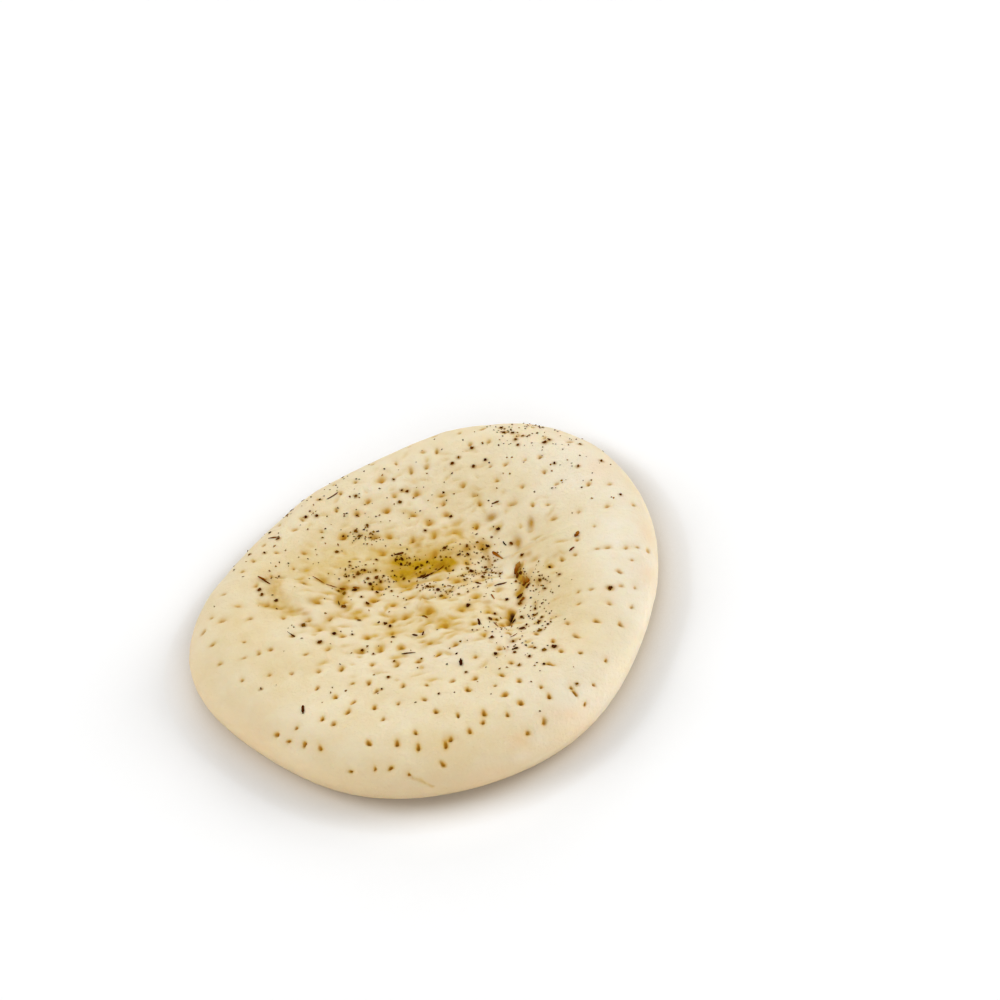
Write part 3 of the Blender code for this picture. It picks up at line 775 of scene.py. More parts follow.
def skin(uv, dents):
    """Where points of the flat skin lie on the finished dough."""
    walk, angle = polar(uv)
    places, normals = bare_skin(walk, angle)
    widest = wall_start(angle)
    above, below = FADE
    fade = 1 - ease(widest - above * UPPER_ARC, widest + below * LOWER_ARC, walk)
    swing, span = CREASE_RAGGEDNESS
    ragged = 1 + swing * rough_noise(uv, span, CREASE_LAYER)
    raised = patches(uv, LUMPS) - fold_depths(uv, BROAD_FOLDS) - pressed(uv, dents)
    raised -= fold_depths(wandering(uv), CREASES) * ragged
    raised += UNDULATION * rough_noise(uv, UNDULATION_SPAN)
    fine = fine_relief(uv) * (1 - ease(widest, widest + LOWER_ARC, walk))
    places = places + normals * (raised * fade + fine)[:, None]
    places[:, 2] -= well(uv)
    return places - middle_of_outline()


def turned(heading):
    """The matrix that turns points of the plane by heading, in degrees."""
    return np.array(Matrix.Rotation(math.radians(heading), 2))


def row_holes(draw):
    """The holes of the listed rows."""
    holes = []
    for x, y, heading, pitch, count in DOCKER_ROWS:
        for pin in range(count):
            hole = np.array([x, y]) * MM + turned(heading) @ [pin * pitch * MM, 0]
            holes.append(hole + [draw.gauss(0, ROW_WANDER), draw.gauss(0, ROW_WANDER)])
    return holes


def docked(uv):
    """Whether the docker's pass reached this point of the skin."""
    if np.hypot(*uv) > wall_start(np.arctan2(uv[1], uv[0])) - HOLES_END:
        return False
    return all(np.hypot(uv[0] - x * MM, uv[1] - y * MM) > r * MM for x, y, r in UNDOCKED)


def docking_holes():
    """All docking holes, as points of the flat skin."""
    draw = random.Random(SEED)
    rows = row_holes(draw)
    holes = list(rows)
    pitch, row_gap, heading = DOCKER_PASS
    reach = int(PASS_REACH / row_gap)
    for row in range(-reach, reach + 1):
        for pin in range(-reach, reach + 1):
            hole = turned(heading) @ [(pin + 0.5 * (row % 2)) * pitch, row * row_gap]
            hole = hole + [draw.gauss(0, PASS_WANDER), draw.gauss(0, PASS_WANDER)]
            from_rows = min(np.hypot(*(hole - h)) for h in rows)
            from_others = min(np.hypot(*(hole - h)) for h in holes)
            if docked(hole) and from_rows > ROW_CLEARANCE and from_others > HOLE_CLEARANCE:
                holes.append(hole)
    return np.array(holes)


def firmness(places):
    """How firmly the docker pressed here: fully at the front of the rim."""
    rim, middle, front = FIRMNESS
    base = rim + (middle - rim) * sunk_share(places)
    return base + (front - base) * ease(*FIRM_FRONT, -places[:, 1])


def hole_dents(holes):
    """The docking holes' steep cores, and the soft dimples round them."""
    draw = random.Random(SEED)
    cores, dimples = [], []
    for hole, sunk, firm in zip(holes, sunk_share(holes), firmness(holes)):
        radius, depth, dimple_radius, dimple_depth = (
            rim + (middle - rim) * sunk
            for rim, middle in (HOLE_RADIUS, HOLE_DEPTH, DIMPLE_RADIUS, DIMPLE_DEPTH)
        )
        size = draw.uniform(*HOLE_VARIETY)
        stretch = draw.uniform(*HOLE_STRETCH)
        outward = math.degrees(math.atan2(hole[1], hole[0]))
        heading = draw.gauss(0 if sunk > draw.random() else outward, HOLE_TURN)
        deep = depth * firm * draw.uniform(*HOLE_VARIETY)
        soft = dimple_depth * draw.uniform(*HOLE_VARIETY)
        narrow = radius * size
        cores.append(Dent(hole, heading, narrow * stretch, narrow, deep, CORE_STEEPNESS))
        wide = dimple_radius * draw.uniform(*HOLE_VARIETY)
        dimples.append(Dent(hole, heading, wide * stretch, wide, soft, SOFT_STEEPNESS))
    return cores, dimples


def pucker_dents(holes):
    """Small dents strewn between the holes of the sunken middle."""
    draw = random.Random(SEED)
    puckers = []
    taken = list(holes)
    while len(puckers) < PUCKERS:
        spread = [draw.gauss(0, PUCKER_SPREAD), draw.gauss(0, PUCKER_SPREAD)]
        place = np.array(WELL_CENTRE) + np.array(WELL_REACH) * spread
        beside = min(np.hypot(*(place - t)) for t in taken)
        if beside < PUCKER_CLEARANCE or sunk_share(place[None])[0] < PUCKERS_END:
            continue
        taken.append(place)
        sizes = [draw.uniform(*s) for s in (PUCKER_LENGTHS, PUCKER_WIDTHS, PUCKER_DEPTHS)]
        puckers.append(Dent(place, draw.gauss(0, PUCKER_HEADINGS), *sizes, SOFT_STEEPNESS))
    return puckers


# ---------------------------------------------------------------- the dough's mesh


def staggered_grid(spacing, radius):
    """Points of a triangular grid inside a circle."""
    closer = math.sqrt(0.75)
    rows = int(radius / spacing / closer) + 2
    row, column = np.mgrid[-rows : rows + 1, -rows : rows + 1].reshape(2, -1)
    grid = np.stack([(column + 0.5 * (row % 2)) * spacing, row * spacing * closer], -1)
    return grid[np.hypot(*grid.T) < radius]


def near_creases(points):
    """Which points lie along a crease."""
    near = np.zeros(len(points), bool)
    for _, _, _, path in CREASES:
        near |= beside_path(points, smooth_path(path))[0] < CREASE_MARGIN
    return near


def near_cores(points, cores):
    """Which points lie in or just round a hole's core."""
    near = np.zeros(len(points), bool)
    for core in cores:
        close = core.touches(points)
        near[close] |= np.hypot(*core.offsets(points[close]).T) < CORE_RINGS[-1][0] + CORE_MARGIN
    return near


def core_points(core):
    """Rings of points that follow a hole's core."""
    rings = []
    for share, count in CORE_RINGS:
        angle = np.arange(count) * 2 * math.pi / count
        rings.append(core.spread(share * np.stack([np.cos(angle), np.sin(angle)], -1)))
    return np.concatenate(rings)


def skin_points(cores):
    """The flat skin's points, close together at holes and creases, with its edge last."""
    angle = np.arange(EDGE_STEPS) * 2 * math.pi / EDGE_STEPS
    reach = wall_start(angle) + LOWER_ARC
    edge = np.stack([reach * np.cos(angle), reach * np.sin(angle)], -1)
    coarse = staggered_grid(SKIN_GRID, reach.max())
    fine = staggered_grid(FINE_GRID, reach.max())
    spread = np.concatenate([coarse[~near_creases(coarse)], fine[near_creases(fine)]])
    spread = spread[~near_cores(spread, cores)]
    inner = np.concatenate([spread, *(core_points(core) for core in cores)])
    walk, angle = polar(inner)
    inner = inner[walk < wall_start(angle) + LOWER_ARC - SKIN_GRID / 2]
    return np.concatenate([inner, edge])


def triangles_between(points, edge):
    """Delaunay triangles inside a closed loop, the loop being given by point numbers."""
    loop = [(a, b) for a, b in zip(edge, edge[1:] + edge[:1])]
    inside_only, merge_distance = 1, 1e-9
    found = delaunay_2d_cdt([Vector(p) for p in points], loop, [], inside_only, merge_distance)
    faces, sources = found[2], found[3]
    return [[sources[i][0] for i in face] for face in faces]


def dough_piece(cores, dimples, puckers, flakes):
    """The dough as one closed, finely divided mesh, with masks for its finish."""
    flat = skin_points(cores)
    count = len(flat)
    edge = list(range(count - EDGE_STEPS, count))
    upper = triangles_between(flat, edge)
    places = skin(flat, cores + dimples + puckers)
    places[edge, 2] = 0
    inner = staggered_grid(UNDERSIDE_GRID, MEAN_RADIUS + OUTLINE_LOBES[0][1])
    walk, angle = polar(inner + middle_of_outline()[:2])
    inner = inner[walk < outline_radius(angle) - UNDERCUT - UNDERSIDE_GRID / 2]
    lower = triangles_between(np.concatenate([places[edge][:, :2], inner]), list(range(EDGE_STEPS)))
    numbers = edge + list(range(count, count + len(inner)))
    lower = [[numbers[i] for i in reversed(face)] for face in lower]
    places = np.concatenate([places, np.column_stack([inner, np.zeros(len(inner))])])
    mesh = bpy.data.meshes.new("dough")
    mesh.from_pydata(places.tolist(), [], upper + lower)
    mesh.shade_smooth()
    for name, values in skin_masks(flat, cores, dimples, puckers, flakes).items():
        add_mask(mesh, name, np.concatenate([values, np.zeros(len(inner))]))
    return bpy.data.objects.new("dough", mesh)


def add_mask(mesh, name, values):
    """A named value between 0 and 1 at each of the mesh's points."""
    mask = mesh.attributes.new(name, "FLOAT", "POINT")
    mask.data.foreach_set("value", np.clip(values, 0, 1).astype(np.float32))


def above_shore(uv):
    """1 behind the puddle's front edge and 0 before it."""
    away, left = beside_path(uv, smooth_path(PUDDLE_SHORE))
    return ease(*SHORE_EDGE, np.where(left, away, -away))


def flake_spots(flakes, spot, shift=0):
    """A soft spot at each flake, its reaches being given in parts of the flake's length."""
    strength, reach_x, reach_y = spot
    return [(strength, x, y - shift, reach_x * size, reach_y * size) for x, y, size in flakes]


def golden_share(uv, dimples, puckers, flakes):
    """How golden the skin is in dents and valleys, most in the sunken middle: partly oil, partly
    painted warm shade.
    """
    sunk = sunk_share(uv)
    golden = pressed(uv, [dimple._replace(depth=1) for dimple in dimples])
    golden *= GOLD_ON_RIM + (1 - GOLD_ON_RIM) * sunk
    golden += pressed(uv, [p._replace(depth=p.depth / PUCKER_DEPTHS[1]) for p in puckers])
    valleys = np.clip(-undulations(uv, FINE_UNDULATIONS[1:]) / VALLEY_DEPTH, 0, 1)
    golden += VALLEY_SHADE * sunk * valleys
    golden *= 1 - GOLD_LOST * ease(*PALER_BACK, uv[:, 1])
    oiled = [flake for flake in flakes if flake[2] > OILED_FLAKE]
    golden += patches(uv, flake_spots(oiled, FLAKE_OIL))
    return np.clip(golden, 0, 1) ** GOLD_GATHERING


def side_shade_share(uv):
    """How strongly the side's painted shade shows, less where light falls on it."""
    walk, angle = polar(uv)
    widest = wall_start(angle)
    above, below = SIDE_SHADE_SPAN
    side = ease(widest - above * UPPER_ARC, widest + below * LOWER_ARC, walk)
    turn = np.abs(angle - math.radians(LIT_HEADING))
    return side * (1 - SHADE_LOST_WHERE_LIT * ease(0, math.pi / 2, math.pi / 2 - turn))


def skin_masks(uv, cores, dimples, puckers, flakes):
    """Where the finish of the skin changes, and where light and shade are painted on it."""
    ragged = 1 + sum(
        swing * rough_noise(uv, span, MASK_LAYER + layer)
        for layer, (swing, span) in enumerate(MASK_RAGGEDNESS)
    )
    core_shade_spots = [c._replace(depth=c.depth / FULL_DEPTH, steepness=CORE_SHADE_STEEPNESS) for c in cores]
    pit_colour_spots = [c._replace(along=PIT_COLOUR_SPREAD * c.along, across=PIT_COLOUR_SPREAD * c.across) for c in core_shade_spots]
    golden = golden_share(uv, dimples, puckers, flakes)
    return {
        # Oil and painted warm shade round each hole, and painted shade in its core.
        "pit_oil_and_shade": pressed(uv, pit_colour_spots) * ragged,
        "core": pressed(uv, core_shade_spots) * ragged,
        # Gathered oil and painted warm shade in dents and valleys.
        "hollow_oil_and_shade": golden * (1 - GOLD_RAGGEDNESS + GOLD_RAGGEDNESS * ragged),
        # Painted shade in creases, with stain, darkest in the deepest.
        "crease": fold_depths(wandering(uv), CREASES) * ragged / DEEP_CREASE,
        "puddle": patches(uv, OIL_PUDDLES) * ragged * above_shore(uv),
        "stain": patches(uv, OIL_STAINS) * ragged,
        # Oil stain and painted shadow round each flake, shifted to the front.
        "leaf": patches(uv, flake_spots(flakes, FLAKE_STAIN_AND_SHADOW, FLAKE_SHADOW_SHIFT)),
        # Flour and painted highlight on the rim.
        "flour_and_highlight": patches(uv, FLOUR_AND_HIGHLIGHTS) * ragged,
        "film": patches(uv, OIL_FILMS) * ragged,
        "toast": patches(uv, TOASTS) * ragged,
        # Painted shade on the side, lighter where light falls on its right.
        "side": side_shade_share(uv),
    }


# ---------------------------------------------------------------- the herbs' meshes


class Heap:
    """Many small shapes that become one piece."""

    def __init__(self):
        self.points = []
        self.faces = []
        self.tones = []
        self.count = 0

    def add(self, pose, points, faces, tones):
        """One more shape, put in place by pose, with its points' tones from dark to light."""
        self.points += [pose @ Vector(p) for p in points]
        self.faces += [[i + self.count for i in face] for face in faces]
        self.tones += tones
        self.count += len(points)

    def piece(self, name):
        mesh = bpy.data.meshes.new(name)
        mesh.from_pydata(self.points, [], self.faces)
        mesh.shade_smooth()
        mesh.set_sharp_from_angle(angle=SHARP_EDGE)
        add_mask(mesh, "tone", np.array(self.tones))
        return bpy.data.objects.new(name, mesh)


def flake_shape(draw, length, width):
    """A crumbled bit of leaf: a curled, ragged plate."""
    curl = draw.uniform(-FLAKE_CURL, FLAKE_CURL) * length
    rim = []
    for i in range(FLAKE_CORNERS):
        shift = draw.uniform(-FLAKE_CORNER_SHIFT, FLAKE_CORNER_SHIFT)
        angle = (i + shift) * 2 * math.pi / FLAKE_CORNERS
        reach = draw.uniform(*FLAKE_REACHES)
        rim.append((reach * math.cos(angle), reach * math.sin(angle)))
    points = []
    for side in (1, -1):
        for x, y in [(0, 0), *rim]:
            bend = curl * (x * x - FLAKE_DROP) + FLAKE_TWIST * curl * x * y
            points.append((x * length / 2, y * width / 2, bend + side * FLAKE_THICKNESS / 2))
    faces = []
    below = FLAKE_CORNERS + 1
    for i in range(FLAKE_CORNERS):
        a, b = 1 + i, 1 + (i + 1) % FLAKE_CORNERS
        faces += [(0, a, b), (below, below + b, below + a), (a, below + a, below + b, b)]
    return points, faces


def stalk_shape(draw, length, width):
    """A dry stalk or rolled needle leaf: a bent rod, thinner at its ends, flat if it is wide."""
    rings, sides = STALK_RINGS, STALK_SIDES
    bow = draw.uniform(-STALK_BOW, STALK_BOW) * length
    flatness = STALK_FLATNESS[width >= WIDE_STALK]
    points = []
    for i in range(rings):
        x = 2 * i / (rings - 1) - 1
        girth = width / 2 * (1 - STALK_TAPER * x * x) * draw.uniform(*STALK_GIRTHS)
        for k in range(sides):
            angle = 2 * math.pi * k / sides
            y = bow * (1 - x * x) + girth * math.cos(angle)
            points.append((x * length / 2, y, flatness * girth * math.sin(angle)))
    faces = [tuple(range(sides))[::-1], tuple((rings - 1) * sides + k for k in range(sides))]
    for i in range(rings - 1):
        for k in range(sides):
            a, b = i * sides + k, i * sides + (k + 1) % sides
            faces.append((a, b, b + sides, a + sides))
    return points, faces


def stalk_tones(tone):
    """The tone of each point of a stalk, which is darker at the end it starts from."""
    return list(tone * np.repeat(np.linspace(*STALK_TONES, STALK_RINGS), STALK_SIDES))


def crumb_shape(draw, size):
    """A speck of herb: an uneven eight-sided grain."""
    points = []
    for axis, proportion in enumerate(CRUMB_PROPORTIONS):
        for side in (1, -1):
            shifts = [draw.uniform(-CRUMB_CORNER_SHIFT, CRUMB_CORNER_SHIFT) for _ in range(3)]
            point = [shift * size for shift in shifts]
            point[axis] += side * draw.uniform(*CRUMB_REACHES) * size * proportion
            points.append(point)
    faces = []
    for x in (0, 1):
        for y in (2, 3):
            for z in (4, 5):
                turn = (x + y + z) % 2
                faces.append((x, y, z) if turn == 0 else (x, z, y))
    return points, faces


def poses_on_skin(spots, headings, lifts, dents):
    """Frames that lie on the skin at the plan places spots, x axes turned to headings."""
    uv = np.array(spots)
    step = SLOPE_STEP
    here = skin(uv, dents)
    east = skin(uv + [step, 0], dents) - skin(uv - [step, 0], dents)
    north = skin(uv + [0, step], dents) - skin(uv - [0, step], dents)
    poses = []
    for place, a, b, heading, lift in zip(here, east, north, headings, lifts):
        up = Vector(a).cross(Vector(b)).normalized()
        along = Vector((math.cos(heading), math.sin(heading), 0))
        along = (along - along.dot(up) * up).normalized()
        pose = Matrix((along, up.cross(along), up)).transposed().to_4x4()
        poses.append(Matrix.Translation(Vector(place) + lift * up) @ pose)
    return poses


def strewn(draw, spot, taken, gap):
    """A random place of a drift that is clear of those taken and on the dough's top."""
    x, y, spread_x, spread_y = spot
    while True:
        place = np.array([draw.gauss(x, spread_x), draw.gauss(y, spread_y)]) * MM
        walk, angle = np.hypot(*place), np.arctan2(place[1], place[0])
        if walk < wall_start(angle) and all(np.hypot(*(place - t)) > gap for t in taken):
            return place


def stalk_piece(draw, dents):
    """The listed stalks and whole leaves."""
    heap = Heap()
    spots = [np.array(row[:2]) * MM for row in STALKS]
    headings = [math.radians(row[4]) for row in STALKS]
    lifts = [row[3] * STALK_LIFT * MM for row in STALKS]
    for pose, row in zip(poses_on_skin(spots, headings, lifts, dents), STALKS):
        heap.add(pose, *stalk_shape(draw, row[2] * MM, row[3] * MM), stalk_tones(row[5]))
    return heap.piece("herb_stalks")


def all_flakes():
    """The leaf flakes that are listed and those of the drifts: (x, y, length) in mm."""
    draw = random.Random(SEED)
    flakes = list(FLAKES)
    for *spot, count, _ in HERB_DRIFTS:
        for _ in range(count):
            taken = [np.array(flake[:2]) * MM for flake in flakes]
            place = strewn(draw, spot, taken, FLAKE_CLEARANCE)
            flakes.append((*(place / MM), draw.uniform(*FLAKE_LENGTHS)))
    return flakes


def leaf_piece(draw, dents):
    """All leaf flakes."""
    heap = Heap()
    flakes = all_flakes()
    spots = [np.array(flake[:2]) * MM for flake in flakes]
    lengths = [flake[2] * MM for flake in flakes]
    headings = [draw.uniform(0, math.tau) for _ in spots]
    lifts = [FLAKE_LIFT] * len(spots)
    for pose, length in zip(poses_on_skin(spots, headings, lifts, dents), lengths):
        width = length * draw.uniform(*FLAKE_SLENDERNESS)
        points, faces = flake_shape(draw, length, width)
        heap.add(pose, points, faces, [draw.random()] * len(points))
    return heap.piece("herb_leaves")


def crumb_piece(draw, dents):
    """The crumbs of the drifts."""
    heap = Heap()
    spots = []
    for *spot, _, count in HERB_DRIFTS:
        drift = []
        while len(drift) < count:
            drift.append(strewn(draw, spot, drift, CRUMB_CLEARANCE))
        spots += drift
    headings = [draw.uniform(0, math.tau) for _ in spots]
    for pose in poses_on_skin(spots, headings, [CRUMB_LIFT] * len(spots), dents):
        points, faces = crumb_shape(draw, draw.uniform(*CRUMB_SIZES))
        heap.add(pose, points, faces, [draw.random()] * len(points))
    return heap.piece("herb_crumbs")


# ---------------------------------------------------------------- materials


class Nodes:
    """A material's or a group's node tree, with short ways to add to it."""

    def __init__(self, tree):
        self.tree = tree

    def add(self, kind, *sources, **settings):
        """A node of this kind, its inputs taken in turn from sources, a socket or a value each."""
        node = self.tree.nodes.new(kind)
        for name, value in settings.items():
            setattr(node, name, value)
        for socket, source in zip(node.inputs, sources):
            self.feed(socket, source)
        return node

    def feed(self, socket, source):
        if isinstance(source, bpy.types.NodeSocket):
            self.tree.links.new(source, socket)
        elif source is not None:
            socket.default_value = source

    def mask(self, name):
        return self.add("ShaderNodeAttribute", attribute_name=name).outputs["Fac"]

    def math(self, operation, *sources):
        return self.add("ShaderNodeMath", *sources, operation=operation).outputs[0]

    def mix(self, share, under, over):
        """The colour under, covered by over where share is 1."""
        node = self.add("ShaderNodeMix", data_type="RGBA")
        self.feed(node.inputs[0], share)
        self.feed(node.inputs[6], under)
        self.feed(node.inputs[7], over)
        return node.outputs[2]

    def rise(self, value, low, high, to_low=0.0, to_high=1.0):
        """value stretched so that low becomes to_low and high becomes to_high."""
        node = self.add("ShaderNodeMapRange", value, low, high, to_low, to_high)
        return node.outputs[0]

    def noise(self, place, scale, detail=2.0, roughness=0.5):
        node = self.add("ShaderNodeTexNoise")
        self.feed(node.inputs["Vector"], place)
        self.feed(node.inputs["Scale"], scale)
        node.inputs["Detail"].default_value = detail
        node.inputs["Roughness"].default_value = roughness
        return node.outputs["Fac"]


def uneven_group():
    """A node group for dry, uneven stuff: patches of tone and a grain to bump it with."""
    tree = bpy.data.node_groups.new("uneven", "ShaderNodeTree")
    for name, kind, value in (
        ("Place", "NodeSocketVector", None),
        ("Patch size", "NodeSocketFloat", 0.01),
        ("Grain size", "NodeSocketFloat", 0.001),
    ):
        socket = tree.interface.new_socket(name, in_out="INPUT", socket_type=kind)
        if value is not None:
            socket.default_value = value
    for name in ("Patches", "Grain"):
        tree.interface.new_socket(name, in_out="OUTPUT", socket_type="NodeSocketFloat")
    nodes = Nodes(tree)
    start = nodes.add("NodeGroupInput")
    end = nodes.add("NodeGroupOutput")
    for size, out in (("Patch size", "Patches"), ("Grain size", "Grain")):
        scale = nodes.math("DIVIDE", 1.0, start.outputs[size])
        value = nodes.noise(start.outputs["Place"], scale, 3.0, 0.6)
        nodes.feed(end.inputs[out], nodes.rise(value, 0.3, 0.7))
    return tree


def new_material(name):
    """A fresh material: its nodes and its shader."""
    material = bpy.data.materials.new(name)
    material.use_nodes = True
    nodes = Nodes(material.node_tree)
    return material, nodes, material.node_tree.nodes["Principled BSDF"]


def uneven(nodes, group, patch_size, grain_size):
    """The group's patches and grain, in the piece's own place."""
    place = nodes.add("ShaderNodeTexCoord").outputs["Object"]
    node = nodes.add("ShaderNodeGroup", node_tree=group)
    nodes.feed(node.inputs["Place"], place)
    node.inputs["Patch size"].default_value = patch_size
    node.inputs["Grain size"].default_value = grain_size
    return node.outputs["Patches"], node.outputs["Grain"], place


def bump(nodes, shader, height, depth):
    node = nodes.add("ShaderNodeBump")
    node.inputs["Distance"].default_value = depth
    nodes.feed(node.inputs["Height"], height)
    nodes.feed(shader.inputs["Normal"], node.outputs[0])


CREAM = (0.83, 0.69, 0.435, 1)
PALE_CREAM = (0.88, 0.78, 0.56, 1)
# Flour's white, which also paints highlights on the rim.
FLOURY_HIGHLIGHT = (0.91, 0.84, 0.70, 1)
# Painted shade on the side.
SIDE_SHADE = (0.72, 0.55, 0.32, 1)
OILED = (0.68, 0.46, 0.09, 1)
PUDDLE = (0.57, 0.33, 0.007, 1)
DEEP_PUDDLE = (0.37, 0.165, 0.0, 1)
# Golden oil and painted warm shade, in dents, valleys and shallow creases.
OCHRE_OIL_AND_SHADE = (0.62, 0.36, 0.02, 1)
# Oil and painted warm shade in and round holes, and painted shade at their bottoms.
PIT_OIL_AND_SHADE = (0.68, 0.40, 0.035, 1)
PIT_SHADE = (0.50, 0.21, 0.004, 1)
# Stain and painted shade in creases, and dark painted shade deep in them.
CREASE_STAIN_AND_SHADE = (0.42, 0.19, 0.004, 1)
DEEP_CREASE_SHADE = (0.10, 0.02, 0.008, 1)
BLUSH = (0.86, 0.56, 0.31, 1)
STAIN = (0.50, 0.25, 0.004, 1)
# Oil stain and painted shadow round a leaf flake.
LEAF_STAIN_AND_SHADOW = (0.44, 0.20, 0.004, 1)
BLACK_BROWN = (0.04, 0.006, 0.0, 1)
BROWN = (0.15, 0.04, 0.0005, 1)
RED_BROWN = (0.36, 0.10, 0.002, 1)
GOLDEN_BROWN = (0.52, 0.25, 0.035, 1)
OLIVE = (0.24, 0.11, 0.002, 1)
TAWNY = (0.42, 0.19, 0.006, 1)
# Roughness of the dough, dry and under oil, and of the herbs, in dips and on their grain.
DOUGH_ROUGHNESS = (0.75, 0.35)
HERB_ROUGHNESS = (0.7, 0.95)
# How glossy a film of oil is, next to a puddle, and how much of a coat a puddle has.
FILM_GLOSS = 0.4
OIL_COAT = 0.06
# Faint wrinkles on the side: how many to a metre along x, y and z.
SIDE_WRINKLES = (110, 110, 700)
# How much of a herb's darkest tone its patches have.
HERB_PATCHINESS = 0.35


def dough_material(group):
    material, nodes, shader = new_material("par-baked dough")
    tone, grain, place = uneven(nodes, group, patch_size=14 * MM, grain_size=1.1 * MM)
    colour = nodes.mix(tone, CREAM, PALE_CREAM)
    side, puddle, film = nodes.mask("side"), nodes.mask("puddle"), nodes.mask("film")
    crease = nodes.mask("crease")
    # Real colours (tone, flour, toast, oil and stains) mixed with painted light: shade in holes,
    # dents, creases and on the side, shadow round flakes, highlight on the rim.
    for share, mask, over in (
        (0.8, nodes.mask("flour_and_highlight"), FLOURY_HIGHLIGHT),
        (0.95, side, SIDE_SHADE),
        (0.4, nodes.mask("toast"), BLUSH),
        (0.7, film, OILED),
        (0.88, nodes.mask("hollow_oil_and_shade"), OCHRE_OIL_AND_SHADE),
        (0.95, nodes.mask("leaf"), LEAF_STAIN_AND_SHADOW),
        (0.85, nodes.mask("pit_oil_and_shade"), PIT_OIL_AND_SHADE),
        (0.8, nodes.mask("core"), PIT_SHADE),
        (0.9, nodes.mask("stain"), STAIN),
        # Painted warm shade, then stain with painted shade, then dark painted shade, as creases
        # deepen.
        (0.7, nodes.rise(crease, 0.0, 0.35), OCHRE_OIL_AND_SHADE),
        (0.8, nodes.rise(crease, 0.2, 0.7), CREASE_STAIN_AND_SHADE),
        (0.85, nodes.rise(crease, 0.7, 1.0), DEEP_CREASE_SHADE),
        (1.0, nodes.rise(puddle, 0.1, 0.7), PUDDLE),
        (0.8, nodes.rise(puddle, 0.7, 1.0), DEEP_PUDDLE),
    ):
        colour = nodes.mix(nodes.math("MULTIPLY", mask, share), colour, over)
    nodes.feed(shader.inputs["Base Color"], colour)
    gloss = nodes.math("MAXIMUM", puddle, nodes.math("MULTIPLY", film, FILM_GLOSS))
    nodes.feed(shader.inputs["Roughness"], nodes.rise(gloss, 0.0, 1.0, *DOUGH_ROUGHNESS))
    nodes.feed(shader.inputs["Coat Weight"], nodes.math("MULTIPLY", gloss, OIL_COAT))
    shader.inputs["Coat Roughness"].default_value = 0.25
    shader.inputs["Specular IOR Level"].default_value = 0.1
    shader.inputs["Subsurface Weight"].default_value = 0.3
    shader.inputs["Subsurface Radius"].default_value = (1.0, 0.5, 0.2)
    shader.inputs["Subsurface Scale"].default_value = 2.0 * MM
    wrinkled = nodes.add("ShaderNodeMapping", place)
    wrinkled.inputs["Scale"].default_value = SIDE_WRINKLES
    wrinkles = nodes.noise(wrinkled.outputs[0], 1.0, 2.0)
    height = nodes.math("ADD", nodes.math("MULTIPLY", wrinkles, side), grain)
    bump(nodes, shader, height, depth=0.14 * MM)
    return material


def herb_material(name, group, dark, mid, light):
    """Dry herb: each bit has its own tone between three colours, and is uneven in itself."""
    material, nodes, shader = new_material(name)
    patchy, grain, _ = uneven(nodes, group, patch_size=0.9 * MM, grain_size=0.3 * MM)
    tone = nodes.mask("tone")
    lower = nodes.mix(nodes.rise(tone, 0.0, 0.6), dark, mid)
    colour = nodes.mix(nodes.rise(tone, 0.6, 1.0), lower, light)
    colour = nodes.mix(nodes.math("MULTIPLY", patchy, HERB_PATCHINESS), colour, dark)
    nodes.feed(shader.inputs["Base Color"], colour)
    nodes.feed(shader.inputs["Roughness"], nodes.rise(grain, 0.0, 1.0, *HERB_ROUGHNESS))
    shader.inputs["Specular IOR Level"].default_value = 0.02
    bump(nodes, shader, grain, depth=0.08 * MM)
    return material


def floor_material():
    material, nodes, shader = new_material("white sweep")
    place = nodes.add("ShaderNodeTexCoord").outputs["Object"]
    white = nodes.mix(nodes.noise(place, FLOOR_MOTTLES), *FLOOR_WHITES)
    # Painted contact shadow: the floor is darker where the base blocks light round it.
    near = nodes.add("ShaderNodeAmbientOcclusion", samples=FLOOR_SHADE_SAMPLES)
    near.inputs["Distance"].default_value = FLOOR_SHADE_REACH
    open_share = nodes.rise(near.outputs["AO"], FLOOR_SHADE_FULL, 1.0)
    colour = nodes.mix(open_share, FLOOR_SHADE, white)
    nodes.feed(shader.inputs["Base Color"], colour)
    nodes.feed(shader.inputs["Emission Color"], colour)
    shader.inputs["Emission Strength"].default_value = FLOOR_GLOW
    shader.inputs["Roughness"].default_value = 0.8
    return material


# ---------------------------------------------------------------- the studio


def link(obj):
    bpy.context.scene.collection.objects.link(obj)
    return obj


def add_floor():
    half = FLOOR_REACH
    mesh = bpy.data.meshes.new("floor")
    corners = [(-half, -half, 0), (half, -half, 0), (half, half, 0), (-half, half, 0)]
    mesh.from_pydata(corners, [], [(0, 1, 2, 3)])
    mesh.materials.append(floor_material())
    link(bpy.data.objects.new("floor", mesh))


def direction(heading, rise):
    """The direction with this heading and rise, in degrees."""
    heading, rise = math.radians(heading), math.radians(rise)
    level = math.cos(rise)
    return Vector((level * math.cos(heading), level * math.sin(heading), math.sin(rise)))


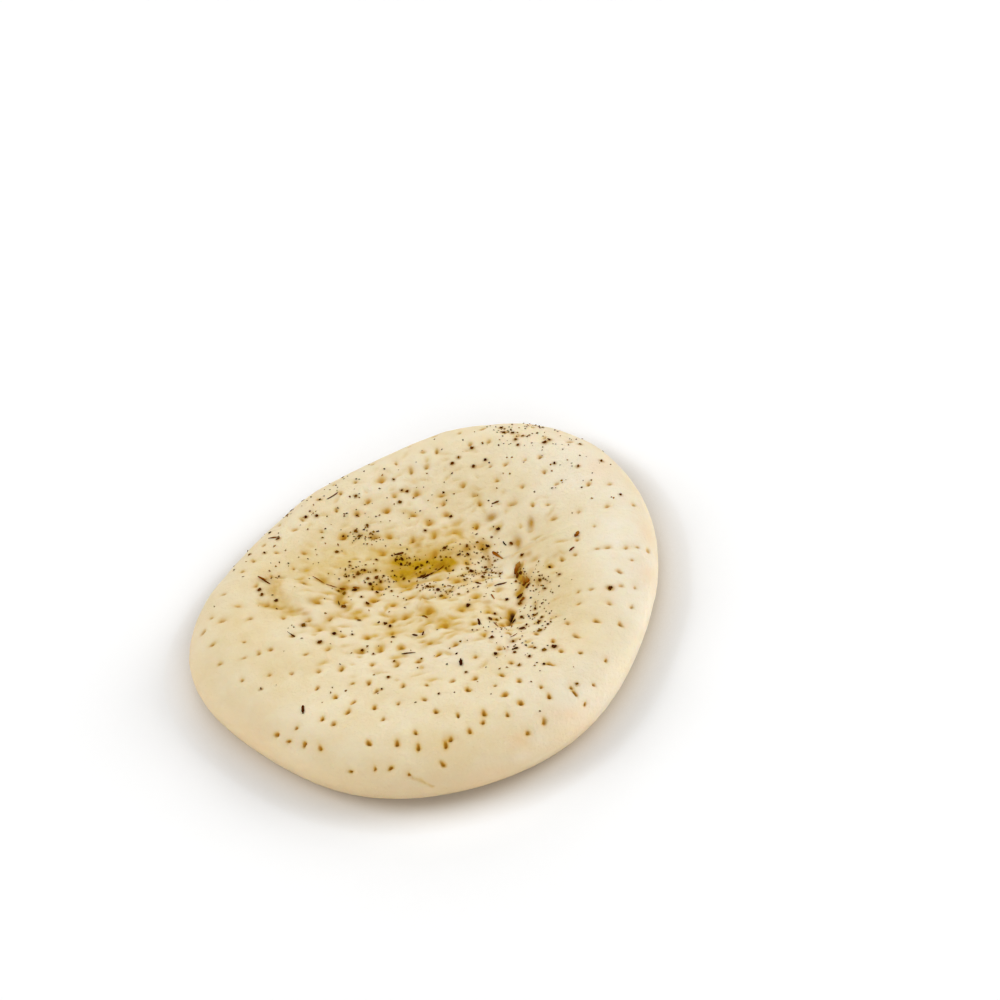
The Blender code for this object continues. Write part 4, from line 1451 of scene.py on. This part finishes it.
def add_softboxes():
    for name, heading, rise, width, watts in SOFT_BOXES:
        light = bpy.data.lights.new(name, "AREA")
        light.size = width
        light.energy = watts
        box = link(bpy.data.objects.new(name, light))
        aim = direction(heading, rise)
        box.location = aim * SOFT_BOX_DISTANCE
        box.rotation_euler = (-aim).to_track_quat("-Z", "Y").to_euler()
    world = bpy.data.worlds.new("studio")
    world.use_nodes = True
    sky = world.node_tree.nodes["Background"]
    sky.inputs["Color"].default_value = (1, 1, 1, 1)
    sky.inputs["Strength"].default_value = SKY_STRENGTH
    bpy.context.scene.world = world


def add_camera():
    """The photograph's view: from the front, rolled a little, the dough left of its middle."""
    back = Vector((0, -math.cos(CAMERA_RISE), math.sin(CAMERA_RISE)))
    level_up = Vector((0, math.sin(CAMERA_RISE), math.cos(CAMERA_RISE)))
    level_right = Vector((1, 0, 0))
    right = level_right * math.cos(CAMERA_ROLL) - level_up * math.sin(CAMERA_ROLL)
    up = level_right * math.sin(CAMERA_ROLL) + level_up * math.cos(CAMERA_ROLL)
    seen_x, seen_y = OUTLINE_MIDDLE_IN_IMAGE
    target = Vector((0, 0, RIM_HEIGHT / 2)) - Vector(middle_of_outline())
    target += right * (IMAGE_MIDDLE - seen_x) * SCALE + up * (seen_y - IMAGE_MIDDLE) * SCALE
    data = bpy.data.cameras.new("camera")
    data.sensor_width = SENSOR_WIDTH
    data.lens = SENSOR_WIDTH * CAMERA_DISTANCE / (2 * IMAGE_MIDDLE * SCALE)
    camera = link(bpy.data.objects.new("camera", data))
    camera.matrix_world = Matrix((right, up, back)).transposed().to_4x4()
    camera.location = target + back * CAMERA_DISTANCE
    bpy.context.scene.camera = camera


def main():
    bpy.context.scene.view_settings.view_transform = "Standard"
    add_camera()
    add_floor()
    add_softboxes()
    holes = docking_holes()
    cores, dimples = hole_dents(holes)
    puckers = pucker_dents(holes)
    group = uneven_group()
    dough = link(dough_piece(cores, dimples, puckers, all_flakes()))
    dough.data.materials.append(dough_material(group))
    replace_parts(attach(dough, "root"), "pizza_base")
    draw = random.Random(SEED)
    dents = cores + dimples + puckers
    for build, finish, tones in (
        (stalk_piece, "dry stalk", (BLACK_BROWN, RED_BROWN, GOLDEN_BROWN)),
        (leaf_piece, "dry leaf", (BLACK_BROWN, BROWN, OLIVE)),
        (crumb_piece, "herb crumb", (BLACK_BROWN, OLIVE, TAWNY)),
    ):
        piece = link(build(draw, dents))
        piece.data.materials.append(herb_material(finish, group, *tones))
        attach(piece, "root")


main()
